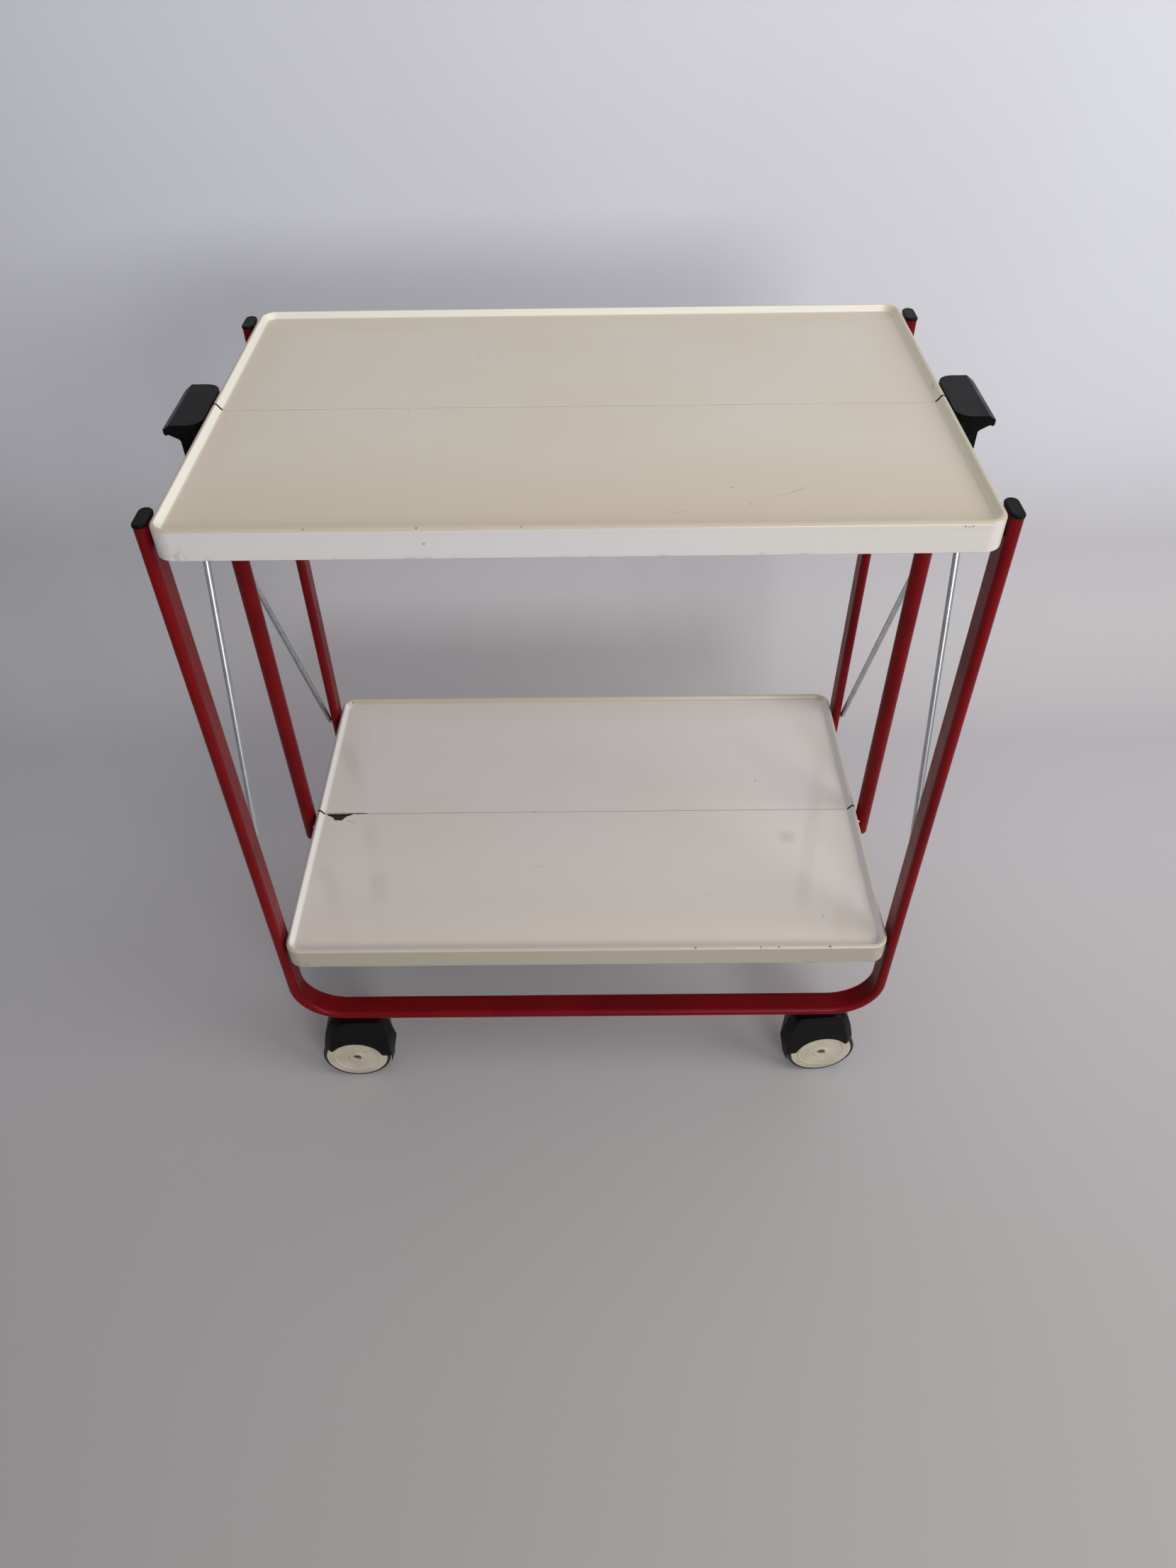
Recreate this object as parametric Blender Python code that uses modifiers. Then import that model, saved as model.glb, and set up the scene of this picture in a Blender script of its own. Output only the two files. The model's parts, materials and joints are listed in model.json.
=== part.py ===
"""Folding serving table: two split trays, two U-frames on casters and two centre posts with handles.

Metres, +Z up, +Y away from the front. The table stands on z = 0, centred on x = 0 and y = 0, and is shown
open. Pulling both handles up lifts the posts, folds the tray halves down into an inverted V and draws the
frames together. Front and back, left and right are the same pieces mirrored.
"""

import math

import bmesh
import bpy
from mathutils import Matrix, Vector

# trays
TRAY_WIDTH = 0.600
TRAY_DEPTH = 0.396
TRAY_HEIGHT = 0.0245
TRAY_WALL = 0.0025
TRAY_CORNER_RADIUS = 0.022
RIM_DROP = 0.0072
RIM_ROUND = 0.0026
RIM_LAND = 0.0008
RIM_SLOPE_WIDTH = 0.0056
RIM_SET_BACK = 0.0006
RIM_CUT_LIFT = 0.0004
# how far across and down each point of the rim's inner slope lies
RIM_SLOPE_SHARES = ((0.0, 0.0), (0.38, 0.62), (0.60, 0.88), (1.0, 1.0))
UPPER_RIM_HEIGHT = 0.7215
LOWER_RIM_HEIGHT = 0.2438
RIB_THICKNESS = 0.0020
RIB_HEIGHT = 0.0070
RIB_SPACING = 0.1400
RIB_STEP = 0.0010

# gaps between pieces
SEAT_GAP = 0.0003
FOLD_GAP = 0.0003
PIN_CLEARANCE = 0.0002
CUT_OVERRUN = 0.0100

# flat-oval frame tube: how far its legs stand in from the trays' ends and past the upper pivots
TUBE_WIDE = 0.0260
TUBE_THIN = 0.0100
TUBE_WALL = 0.0013
TRAY_TO_TUBE = 0.0046
LEG_INSET = 0.0227
LEG_PAST_PIVOT = 0.0121
BEND_RADIUS = 0.0480

# leg caps
CAP_OVERHANG = 0.0005
CAP_HEIGHT = 0.0074
CAP_ROUND = 0.0024
CAP_DOME = 0.0016
CAP_PLUG_DEPTH = 0.0080

# centre posts and handles: drops are measured down from the handle's top, which is flush with the rim
POST_RADIUS = 0.0080
POST_WALL = 0.0013
TRAY_TO_POST = 0.0050
POST_PAST_PIVOT = 0.0187
POST_TOP_DROP = 0.0065
HANDLE_LENGTH = 0.0760
HANDLE_TO_TRAY = 0.0006
HANDLE_PLATE = 0.0050
HANDLE_RIDGE_REACH = 0.0150
HANDLE_LIP_REACH = 0.0216
HANDLE_CHAMFER_DROP = 0.0020
HANDLE_LIP_DROP = 0.0078
HANDLE_LIP_THICKNESS = 0.0048
HANDLE_LIP_SLANT = 0.0016
HANDLE_GUSSET_DROP = 0.0098
HANDLE_INNER_ROUND = 0.0130
HANDLE_OUTER_ROUND = 0.0040
HANDLE_EDGE_ROUND = 0.0007
HANDLE_WEB_INSET = 0.0026
HANDLE_WEB_DROP = 0.0365
HANDLE_SOCKET_DROP = 0.0295
HANDLE_SOCKET_LENGTH = 0.0344
HANDLE_SOCKET_WALL = 0.0023

# tray pivots
PIVOT_LIFT = 0.0049
POST_PIVOT_Y = 0.0050
POST_PIN_RADIUS = 0.0020
POST_PIN_TO_AXIS = 0.0035
LEG_PIN_RADIUS = 0.0025
PIN_HEAD_RADIUS = 0.0033
PIN_HEAD_HEIGHT = 0.0016
# how far across and up each ring of the rivet's head lies
PIN_HEAD_SHARES = ((1.0, 0.0), (0.7, 1.0))
BOSS_RADIUS = 0.0046
BOSS_DEPTH = 0.0060
PIN_DEPTH = 0.0050
KNUCKLE_GAP = 0.00015

# stay rods and their sliders
ROD_RADIUS = 0.0030
ROD_TO_LEG = 0.0004
ROD_BEND_RADIUS = 0.0034
ROD_INSET = 0.0053
ROD_ABOVE_PIVOT = 0.0068
ROD_PAST_WALL = 0.0023
ROD_UPPER_Y = 0.0080
ROD_TO_PAD = 0.0008
ROD_END_PAST = 0.0050
SLIDER_TO_HANDLE = 0.0006
SLIDER_HEIGHT = 0.0240
SLIDER_WALL = 0.0025
SLIDER_PAD_REACH = 0.0177
SLIDER_PAD_WIDTH = 0.0260
SLIDER_PAD_ROUND = 0.0030
SLIDER_EDGE_ROUND = 0.0010

# casters
WHEEL_RADIUS = 0.0375
WHEEL_TO_WEB = 0.0005
WHEEL_OUTER_FACE = 0.0130
DISC_RADIUS = 0.0338
TYRE_ROUND = 0.0022
TYRE_SET_BACK = 0.0003
DISC_RING_RADIUS = 0.0252
DISC_RING_WIDTH = 0.0014
DISC_RING_DEPTH = 0.0006
DISC_HOLE_RADIUS = 0.0047
DISC_HOLE_DEPTH = 0.0030
AXLE_RADIUS = 0.0030
AXLE_RECESS = 0.0020
AXLE_EYE_RADIUS = 0.0095
CASTER_TRAIL = 0.0180
CASTER_INSET = 0.0656
HOOD_RISE = 0.0325
HOOD_CHEEK = 0.0022
HOOD_WEB = 0.0042
HOOD_WHEEL_GAP = 0.0013
HOOD_NOSE_WALL = 0.0005
HOOD_RIDGE = 0.0074
HOOD_TAIL_SHORT = 0.0037
HOOD_TAIL_ROUND = 0.0070
HOOD_TAIL_FOOT = 0.0165
HOOD_CHEEK_FOOT = 0.0050
HOOD_ARCH_OVER_DISC = 0.0046
HOOD_EDGE_ROUND = 0.0012
# the hood's outline at each height: shares of its height, and of the reach of tail, nose ridge and cheeks
HOOD_LEVEL_SHARES = (
    (0.230, 1.00, 0.860, 0.940),
    (0.310, 1.00, 0.920, 1.000),
    (0.560, 0.99, 1.000, 1.000),
    (0.745, 0.86, 0.910, 1.000),
    (0.885, 0.71, 0.845, 0.955),
    (0.960, 0.56, 0.800, 0.905),
    (1.000, 0.33, 0.740, 0.830),
)
STEM_RADIUS = 0.0040
STEM_DEPTH = 0.0220
STEM_END_GAP = 0.0010
STEM_COLLAR_RADIUS = 0.0076
STEM_COLLAR_HEIGHT = 0.0024
# each caster's trail direction as a turn about its pin, in degrees, as the table was left standing
CASTER_TURNS = {
    ("front", "left"): 182.3,
    ("front", "right"): 4.5,
    ("back", "left"): 176.0,
    ("back", "right"): -3.0,
}

# worked out from the sizes above: across the table
HALF_WIDTH = TRAY_WIDTH / 2
HALF_DEPTH = TRAY_DEPTH / 2
LEG_X = HALF_WIDTH + TRAY_TO_TUBE + TUBE_THIN / 2
LEG_Y = HALF_DEPTH - LEG_INSET
LEG_OUTER_FACE = LEG_X + TUBE_THIN / 2
POST_X = HALF_WIDTH + TRAY_TO_POST + POST_RADIUS
PIN_FACE_X = HALF_WIDTH - TRAY_WALL - PIN_DEPTH
BOSS_STAND = TRAY_TO_TUBE - SEAT_GAP
SLIDER_FACE_X = POST_X + SLIDER_PAD_REACH
ROD_LOWER_X = LEG_OUTER_FACE + ROD_TO_LEG + ROD_RADIUS
ROD_LOWER_Y = LEG_Y - ROD_INSET
ROD_UPPER_X = SLIDER_FACE_X + ROD_TO_PAD + ROD_RADIUS
CASTER_X = LEG_X - CASTER_INSET

# heights
UPPER_PIVOT_Z = UPPER_RIM_HEIGHT - TRAY_HEIGHT + PIVOT_LIFT
LOWER_PIVOT_Z = LOWER_RIM_HEIGHT - TRAY_HEIGHT + PIVOT_LIFT
LEG_TOP = UPPER_PIVOT_Z + LEG_PAST_PIVOT
HANDLE_TOP = UPPER_RIM_HEIGHT
POST_TOP = HANDLE_TOP - POST_TOP_DROP
POST_BOTTOM = LOWER_PIVOT_Z - POST_PAST_PIVOT
HANDLE_SOCKET_TOP = HANDLE_TOP - HANDLE_SOCKET_DROP
HANDLE_SOCKET_BOTTOM = HANDLE_SOCKET_TOP - HANDLE_SOCKET_LENGTH
ROD_UPPER_HEIGHT = HANDLE_SOCKET_BOTTOM - SLIDER_TO_HANDLE - SLIDER_HEIGHT / 2
ROD_LOWER_HEIGHT = LOWER_PIVOT_Z + ROD_ABOVE_PIVOT
AXLE_Z = WHEEL_RADIUS
HOOD_TOP = 2 * WHEEL_RADIUS + HOOD_RISE
RAIL_HEIGHT = HOOD_TOP + SEAT_GAP + STEM_COLLAR_HEIGHT + TUBE_THIN / 2

# the caster, from its axle and its middle
WHEEL_INNER_FACE = HOOD_WEB / 2 + WHEEL_TO_WEB
CAVITY_OUTER = WHEEL_OUTER_FACE + SEAT_GAP
HOOD_THICKNESS = 2 * (CAVITY_OUTER + HOOD_CHEEK)
HOOD_TAIL_REACH = WHEEL_RADIUS - HOOD_TAIL_SHORT
HOOD_CHEEK_FRONT = WHEEL_RADIUS + HOOD_WHEEL_GAP + HOOD_NOSE_WALL
HOOD_NOSE_REACH = HOOD_CHEEK_FRONT + HOOD_RIDGE
HOOD_ARCH_RADIUS = DISC_RADIUS - HOOD_ARCH_OVER_DISC

SIDES = {"left": -1, "right": 1}
ENDS = {"front": -1, "back": 1}
TRAYS = {"top": UPPER_PIVOT_Z, "bottom": LOWER_PIVOT_Z}

# how finely round shapes are cut, and how near points must be to become one
WELD = 0.00002
CORNER_STEPS = 3
TUBE_END_STEPS = 3
BEND_STEPS = 5
WHEEL_STEPS = 16
POST_STEPS = 16
ROUND_STEPS = 12
ARCH_STEPS = 8
PIN_STEPS = 10
THIN_PIN_STEPS = 8


def clear_scene():
    for obj in list(bpy.data.objects):
        bpy.data.objects.remove(obj, do_unlink=True)


def new_collection(name):
    collection = bpy.data.collections.new(name)
    bpy.context.scene.collection.children.link(collection)
    return collection


def make_material(name, colour, roughness, metallic=0.0):
    material = bpy.data.materials.new(name)
    material.use_nodes = True
    shader = material.node_tree.nodes["Principled BSDF"]
    shader.inputs["Base Color"].default_value = (*colour, 1.0)
    shader.inputs["Roughness"].default_value = roughness
    shader.inputs["Metallic"].default_value = metallic
    material.diffuse_color = (*colour, 1.0)
    return material


def add_object(name, mesh, material=None, location=(0, 0, 0), parent=None):
    """Puts a mesh in the scene as a sub-part, or as a cutter when it has no material."""
    obj = bpy.data.objects.new(name, mesh)
    obj.location = location
    obj.parent = parent
    if material is None:
        CUTTERS.objects.link(obj)
        obj.hide_render = True
        obj.display_type = "WIRE"
    else:
        TABLE.objects.link(obj)
        mesh.materials.clear()
        mesh.materials.append(material)
    return obj


def add_part(name, mesh, material, pivot=(0, 0, 0), parent=None):
    """Puts a mesh made at its place in the scene, with its origin moved to the pivot."""
    mesh.transform(Matrix.Translation(-Vector(pivot)))
    return add_object(name, mesh, material, pivot, parent)


def add_empty(name, location, turn_degrees=0.0):
    empty = bpy.data.objects.new(name, None)
    empty.location = location
    empty.rotation_euler = (0, 0, math.radians(turn_degrees))
    TABLE.objects.link(empty)
    return empty


def mesh_from(bm, name):
    bmesh.ops.recalc_face_normals(bm, faces=bm.faces)
    mesh = bpy.data.meshes.new(name)
    bm.to_mesh(mesh)
    bm.free()
    return mesh


def smooth(mesh, degrees=35):
    mesh.shade_smooth()
    mesh.set_sharp_from_angle(angle=math.radians(degrees))


def boolean(obj, other, operation="DIFFERENCE", solver="EXACT"):
    modifier = obj.modifiers.new(f"{operation.lower()} {other.name}", "BOOLEAN")
    modifier.operation = operation
    modifier.solver = solver
    modifier.object = other


def box_mesh(name, size, centre=(0, 0, 0)):
    bm = bmesh.new()
    bmesh.ops.create_cube(bm, size=1, matrix=Matrix.Translation(centre) @ Matrix.Diagonal((*size, 1)))
    return mesh_from(bm, name)


def rod_mesh(name, radius, start, end, axis="X", steps=PIN_STEPS, head_radius=0, head_height=0):
    """A round bar along one axis from start to end, with a domed head past its end if it has one."""
    turn = {"X": Matrix.Rotation(math.radians(90), 4, "Y"), "Y": Matrix.Rotation(math.radians(-90), 4, "X")}
    direction = {"X": Vector((1, 0, 0)), "Y": Vector((0, 1, 0)), "Z": Vector((0, 0, 1))}[axis]
    bm = bmesh.new()
    place = Matrix.Translation(direction * (start + end) / 2) @ turn.get(axis, Matrix())
    bmesh.ops.create_cone(
        bm, cap_ends=True, segments=steps, radius1=radius, radius2=radius, depth=end - start, matrix=place
    )
    if head_radius:
        face = max(bm.faces, key=lambda f: f.calc_center_median().dot(direction))
        for radius_share, rise_share in PIN_HEAD_SHARES:
            made = bmesh.ops.extrude_discrete_faces(bm, faces=[face])
            face = made["faces"][0]
            for vert in face.verts:
                away = vert.co - direction * vert.co.dot(direction)
                height = end + head_height * rise_share
                vert.co = away.normalized() * head_radius * radius_share + direction * height
    return mesh_from(bm, name)


def outline_mesh(name, points, thickness, plane="XY"):
    """A flat outline drawn as a 2D curve, extruded both ways by half the thickness, as a mesh.

    Plane XY has its thickness along Z, XZ along Y and YZ along X.
    """
    curve = bpy.data.curves.new(name, "CURVE")
    curve.dimensions = "2D"
    curve.fill_mode = "BOTH"
    curve.extrude = thickness / 2
    spline = curve.splines.new("POLY")
    spline.points.add(len(points) - 1)
    for point, (x, y) in zip(spline.points, points):
        point.co = (x, y, 0, 1)
    spline.use_cyclic_u = True
    mesh = mesh_of_curve(curve, name)
    if plane == "XZ":
        mesh.transform(Matrix.Rotation(math.radians(90), 4, "X"))
    if plane == "YZ":
        mesh.transform(Matrix(((0, 0, 1, 0), (1, 0, 0, 0), (0, 1, 0, 0), (0, 0, 0, 1))))
    return mesh


def mesh_of_curve(curve, name):
    holder = bpy.data.objects.new(name, curve)
    bpy.context.scene.collection.objects.link(holder)
    graph = bpy.context.evaluated_depsgraph_get()
    mesh = bpy.data.meshes.new_from_object(holder.evaluated_get(graph), depsgraph=graph)
    bpy.data.objects.remove(holder, do_unlink=True)
    bpy.data.curves.remove(curve)
    mesh.name = name
    bm = bmesh.new()
    bm.from_mesh(mesh)
    bmesh.ops.remove_doubles(bm, verts=bm.verts, dist=WELD)
    bm.to_mesh(mesh)
    bm.free()
    return mesh


def arc(centre, radius, start_degrees, end_degrees, steps):
    found = []
    for i in range(steps + 1):
        angle = math.radians(start_degrees + (end_degrees - start_degrees) * i / steps)
        found.append((centre[0] + radius * math.cos(angle), centre[1] + radius * math.sin(angle)))
    return found


def stadium(thin, wide, steps):
    """A flat oval with its long side along the second axis."""
    radius = thin / 2
    reach = wide / 2 - radius
    return arc((0, reach), radius, 0, 180, steps) + arc((0, -reach), radius, 180, 360, steps)


def rounded_rectangle(half_x, half_y, radius, steps):
    corners = ((1, 1, 0), (-1, 1, 90), (-1, -1, 180), (1, -1, 270))
    found = []
    for sign_x, sign_y, start in corners:
        centre = (sign_x * (half_x - radius), sign_y * (half_y - radius))
        found += arc(centre, radius, start, start + 90, steps)
    return found


def turned_mesh(name, profile, steps, ring=False):
    """A turned shape about Z from a profile of (radius, height), a closed ring or open at the axis."""
    mesh = bpy.data.meshes.new(name)
    edges = [(i, i + 1) for i in range(len(profile) - 1)]
    if ring:
        edges.append((len(profile) - 1, 0))
    mesh.from_pydata([(radius, 0, height) for radius, height in profile], edges, [])
    holder = bpy.data.objects.new(name, mesh)
    bpy.context.scene.collection.objects.link(holder)
    screw = holder.modifiers.new("turn", "SCREW")
    screw.axis = "Z"
    screw.steps = steps
    screw.render_steps = steps
    screw.use_merge_vertices = True
    screw.merge_threshold = WELD
    graph = bpy.context.evaluated_depsgraph_get()
    turned = bpy.data.meshes.new_from_object(holder.evaluated_get(graph), depsgraph=graph)
    bpy.data.objects.remove(holder, do_unlink=True)
    turned.name = name
    bm = bmesh.new()
    bm.from_mesh(turned)
    bmesh.ops.recalc_face_normals(bm, faces=bm.faces)
    bm.to_mesh(turned)
    bm.free()
    smooth(turned, 40)
    return turned


def lofted_mesh(name, rings):
    """A skin through closed rings of equally many points, with both ends filled."""
    bm = bmesh.new()
    loops = [[bm.verts.new(point) for point in ring] for ring in rings]
    for lower, upper in zip(loops, loops[1:]):
        for i in range(len(lower)):
            bm.faces.new((lower[i - 1], lower[i], upper[i], upper[i - 1]))
    bm.faces.new(loops[0])
    bm.faces.new(loops[-1])
    return mesh_from(bm, name)


def joined_mesh(name, meshes):
    """Separate closed shapes that do not meet, as one mesh."""
    bm = bmesh.new()
    for mesh in meshes:
        bm.from_mesh(mesh)
    return mesh_from(bm, name)


def moved(mesh, offset):
    mesh.transform(Matrix.Translation(offset))
    return mesh


def rounded_path(corners, radius, steps):
    """The line through these corners with each inner corner made an arc."""
    corners = [Vector(corner) for corner in corners]
    path = [corners[0]]
    for before, corner, after in zip(corners, corners[1:], corners[2:]):
        back = (before - corner).normalized()
        ahead = (after - corner).normalized()
        half = back.angle(ahead) / 2
        start = corner + back * radius / math.tan(half)
        centre = corner + (back + ahead).normalized() * radius / math.sin(half)
        side = start - centre
        for i in range(steps + 1):
            turn = (math.pi - 2 * half) * i / steps
            path.append(centre + side * math.cos(turn) - back * radius * math.sin(turn))
    path.append(corners[-1])
    return path


def bar_curve(name, path, resolution=2):
    curve = bpy.data.curves.new(name, "CURVE")
    curve.dimensions = "3D"
    curve.bevel_resolution = resolution
    curve.use_fill_caps = True
    spline = curve.splines.new("POLY")
    spline.points.add(len(path) - 1)
    for point, place in zip(spline.points, path):
        point.co = (*place, 1)
    return curve


def tray_profile():
    """Pairs of inset and drop from the rim's outer edge: up the skirt, over the rim, down to the floor."""
    profile = [(0, TRAY_HEIGHT), (0, RIM_ROUND)]
    for degrees in (45, 90):
        turn = math.radians(degrees)
        profile.append((RIM_ROUND * (1 - math.cos(turn)), RIM_ROUND * (1 - math.sin(turn))))
    start = RIM_ROUND + RIM_LAND
    for width_share, drop_share in RIM_SLOPE_SHARES:
        profile.append((start + RIM_SLOPE_WIDTH * width_share, RIM_DROP * drop_share))
    return profile


def half_solid(name, rings, end, fold_y):
    """The part of a loft on one side of the fold line, as a closed solid."""
    bm = bmesh.new()
    bm.from_mesh(lofted_mesh(name, rings))
    cut = bmesh.ops.bisect_plane(
        bm,
        geom=bm.verts[:] + bm.edges[:] + bm.faces[:],
        plane_co=(0, ENDS[end] * fold_y, 0),
        plane_no=(0, -ENDS[end], 0),
        clear_outer=True,
        dist=WELD,
    )
    edges = [item for item in cut["geom_cut"] if isinstance(item, bmesh.types.BMEdge)]
    bmesh.ops.edgeloop_fill(bm, edges=edges)
    return mesh_from(bm, name)


def tray_ring(inset, z):
    ring = rounded_rectangle(
        HALF_WIDTH - inset, HALF_DEPTH - inset, TRAY_CORNER_RADIUS - inset, CORNER_STEPS
    )
    return [(x, y, z) for x, y in ring]


def tray_solid(name, rim_height, end):
    rings = [tray_ring(inset, rim_height - drop) for inset, drop in tray_profile()]
    return half_solid(name, rings, end, FOLD_GAP / 2)


def tray_hollow(name, rim_height, end):
    """The room below the floor, inside the skirt and the wall at the fold."""
    skirt_foot = rim_height - TRAY_HEIGHT
    rings = [
        tray_ring(TRAY_WALL, skirt_foot - CUT_OVERRUN),
        tray_ring(TRAY_WALL, rim_height - RIM_DROP - TRAY_WALL),
    ]
    return half_solid(name, rings, end, FOLD_GAP / 2 + TRAY_WALL)


def tray_bosses_and_ribs(name, tray, end):
    """The pivot bosses and the short ribs, which do not meet each other."""
    pivot_z = TRAYS[tray]
    floor_z = pivot_z - PIVOT_LIFT + TRAY_HEIGHT - RIM_DROP
    inner_x = HALF_WIDTH - TRAY_WALL - BOSS_DEPTH
    shapes = []
    for side in SIDES.values():
        for y in (POST_PIVOT_Y, LEG_Y):
            ends = sorted((side * inner_x, side * (HALF_WIDTH + BOSS_STAND)))
            boss = rod_mesh(name, BOSS_RADIUS, ends[0], ends[1])
            shapes.append(moved(boss, (0, ENDS[end] * y, pivot_z)))
    length = HALF_DEPTH - FOLD_GAP / 2 - TRAY_WALL
    size = (RIB_THICKNESS, length, RIB_HEIGHT + TRAY_WALL / 2)
    centre_z = floor_z - TRAY_WALL / 2 - size[2] / 2
    for column in (-1, 0, 1):
        shapes.append(
            box_mesh(name, size, (column * RIB_SPACING, ENDS[end] * (HALF_DEPTH / 2), centre_z))
        )
    return joined_mesh(name, shapes)


def tray_long_rib(name, tray, end):
    floor_z = TRAYS[tray] - PIVOT_LIFT + TRAY_HEIGHT - RIM_DROP
    size = (TRAY_WIDTH - TRAY_WALL, RIB_THICKNESS, RIB_HEIGHT - RIB_STEP + TRAY_WALL / 2)
    return box_mesh(name, size, (0, ENDS[end] * HALF_DEPTH / 2, floor_z - TRAY_WALL / 2 - size[2] / 2))


def tray_rim_cut(name, tray):
    """What stands the rims' ends back from the fold, above the floor."""
    foot = TRAYS[tray] - PIVOT_LIFT + TRAY_HEIGHT - RIM_DROP + RIM_CUT_LIFT
    size = (TRAY_WIDTH + CUT_OVERRUN, FOLD_GAP + 2 * RIM_SET_BACK, RIM_DROP + CUT_OVERRUN)
    return box_mesh(name, size, (0, 0, foot + size[2] / 2))


def tray_cuts(name, tray, end):
    """The pin bores, the rims' set-back, and the rounding of the fold edge about the post pins."""
    pivot_z = TRAYS[tray]
    shapes = [tray_rim_cut(name, tray)]
    for side in SIDES.values():
        for y, radius, steps in (
            (POST_PIVOT_Y, POST_PIN_RADIUS, THIN_PIN_STEPS),
            (LEG_Y, LEG_PIN_RADIUS, PIN_STEPS),
        ):
            far = HALF_WIDTH + BOSS_STAND + CUT_OVERRUN
            ends = sorted((side * (PIN_FACE_X - SEAT_GAP), side * far))
            bore = rod_mesh(name, radius + PIN_CLEARANCE, ends[0], ends[1], steps=steps)
            shapes.append(moved(bore, (0, ENDS[end] * y, pivot_z)))
    radius = POST_PIVOT_Y - KNUCKLE_GAP
    sign = -ENDS[end]
    outline = [(sign * y, z) for y, z in arc((0, 0), radius, 0, -90, ROUND_STEPS // 2)]
    outline += [(0, -CUT_OVERRUN), (sign * CUT_OVERRUN, -CUT_OVERRUN), (sign * CUT_OVERRUN, 0)]
    relief = outline_mesh(name, outline, TRAY_WIDTH + CUT_OVERRUN, "YZ")
    shapes.append(moved(relief, (0, ENDS[end] * POST_PIVOT_Y, pivot_z)))
    return joined_mesh(name, shapes)


def build_tray_half(tray, end, material):
    name = f"{tray}_tray_{end}"
    rim_height = TRAYS[tray] - PIVOT_LIFT + TRAY_HEIGHT
    pivot = (0, ENDS[end] * POST_PIVOT_Y, TRAYS[tray])
    half = add_part(name, tray_solid(name, rim_height, end), material, pivot)
    boolean(half, add_object(f"{name}_hollow", tray_hollow(name, rim_height, end)))
    boolean(half, add_object(f"{name}_bosses", tray_bosses_and_ribs(name, tray, end)), "UNION")
    boolean(half, add_object(f"{name}_rib", tray_long_rib(name, tray, end)), "UNION")
    boolean(half, add_object(f"{name}_cuts", tray_cuts(name, tray, end)))
    smooth(half.data)


def frame_tube_mesh(name):
    """The open skin of the U-shaped tube, with both legs up, standing in the plane y = 0."""
    section = bpy.data.curves.new(f"{name}_section", "CURVE")
    section.dimensions = "2D"
    spline = section.splines.new("POLY")
    points = stadium(TUBE_THIN, TUBE_WIDE, TUBE_END_STEPS)
    spline.points.add(len(points) - 1)
    for point, (x, y) in zip(spline.points, points):
        point.co = (x, y, 0, 1)
    spline.use_cyclic_u = True
    holder = bpy.data.objects.new(section.name, section)
    bpy.context.scene.collection.objects.link(holder)
    corners = [(-LEG_X, LEG_TOP, 0), (-LEG_X, RAIL_HEIGHT, 0), (LEG_X, RAIL_HEIGHT, 0), (LEG_X, LEG_TOP, 0)]
    curve = bar_curve(name, rounded_path(corners, BEND_RADIUS, BEND_STEPS))
    curve.twist_mode = "Z_UP"
    curve.use_fill_caps = False
    curve.bevel_mode = "OBJECT"
    curve.bevel_object = holder
    mesh = mesh_of_curve(curve, name)
    bpy.data.objects.remove(holder, do_unlink=True)
    bpy.data.curves.remove(section)
    mesh.transform(Matrix.Rotation(math.radians(90), 4, "X"))
    bm = bmesh.new()
    bm.from_mesh(mesh)
    return mesh_from(bm, name)


def caster_stem_mesh(name):
    """The pin under a frame's rail, with the washer it is welded through, about Z."""
    underside = RAIL_HEIGHT - TUBE_THIN / 2
    profile = [
        (0, underside + TUBE_WALL * 3 / 2),
        (STEM_RADIUS, underside + TUBE_WALL * 3 / 2),
        (STEM_RADIUS, underside + TUBE_WALL / 2),
        (STEM_COLLAR_RADIUS, underside + TUBE_WALL / 2),
        (STEM_COLLAR_RADIUS, HOOD_TOP + SEAT_GAP),
        (STEM_RADIUS, HOOD_TOP + SEAT_GAP),
        (STEM_RADIUS, HOOD_TOP - STEM_DEPTH),
        (0, HOOD_TOP - STEM_DEPTH),
    ]
    return turned_mesh(name, profile, ROUND_STEPS)


def build_frame(end, material):
    name = f"{end}_frame"
    y = ENDS[end] * LEG_Y
    tube = moved(frame_tube_mesh(name), (0, y, 0))
    smooth(tube)
    frame = add_part(name, tube, material, (0, y, UPPER_PIVOT_Z))
    wall = frame.modifiers.new("wall", "SOLIDIFY")
    wall.thickness = TUBE_WALL
    wall.offset = -1
    wall.use_even_offset = True
    stems = [moved(caster_stem_mesh(name), (side * CASTER_X, y, 0)) for side in SIDES.values()]
    boolean(frame, add_object(f"{name}_stems", joined_mesh(name, stems)), "UNION")
    holes = []
    for side in SIDES.values():
        ends = sorted((side * (LEG_X - TUBE_THIN), side * (LEG_X + TUBE_THIN)))
        for pivot_z in TRAYS.values():
            hole = rod_mesh(name, LEG_PIN_RADIUS + PIN_CLEARANCE, ends[0], ends[1])
            holes.append(moved(hole, (0, y, pivot_z)))
        ends = sorted((side * LEG_X, side * (LEG_X + TUBE_THIN)))
        hole = rod_mesh(name, ROD_RADIUS + PIN_CLEARANCE, ends[0], ends[1])
        holes.append(moved(hole, (0, ENDS[end] * ROD_LOWER_Y, ROD_LOWER_HEIGHT)))
    boolean(frame, add_object(f"{name}_holes", joined_mesh(name, holes)))


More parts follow.
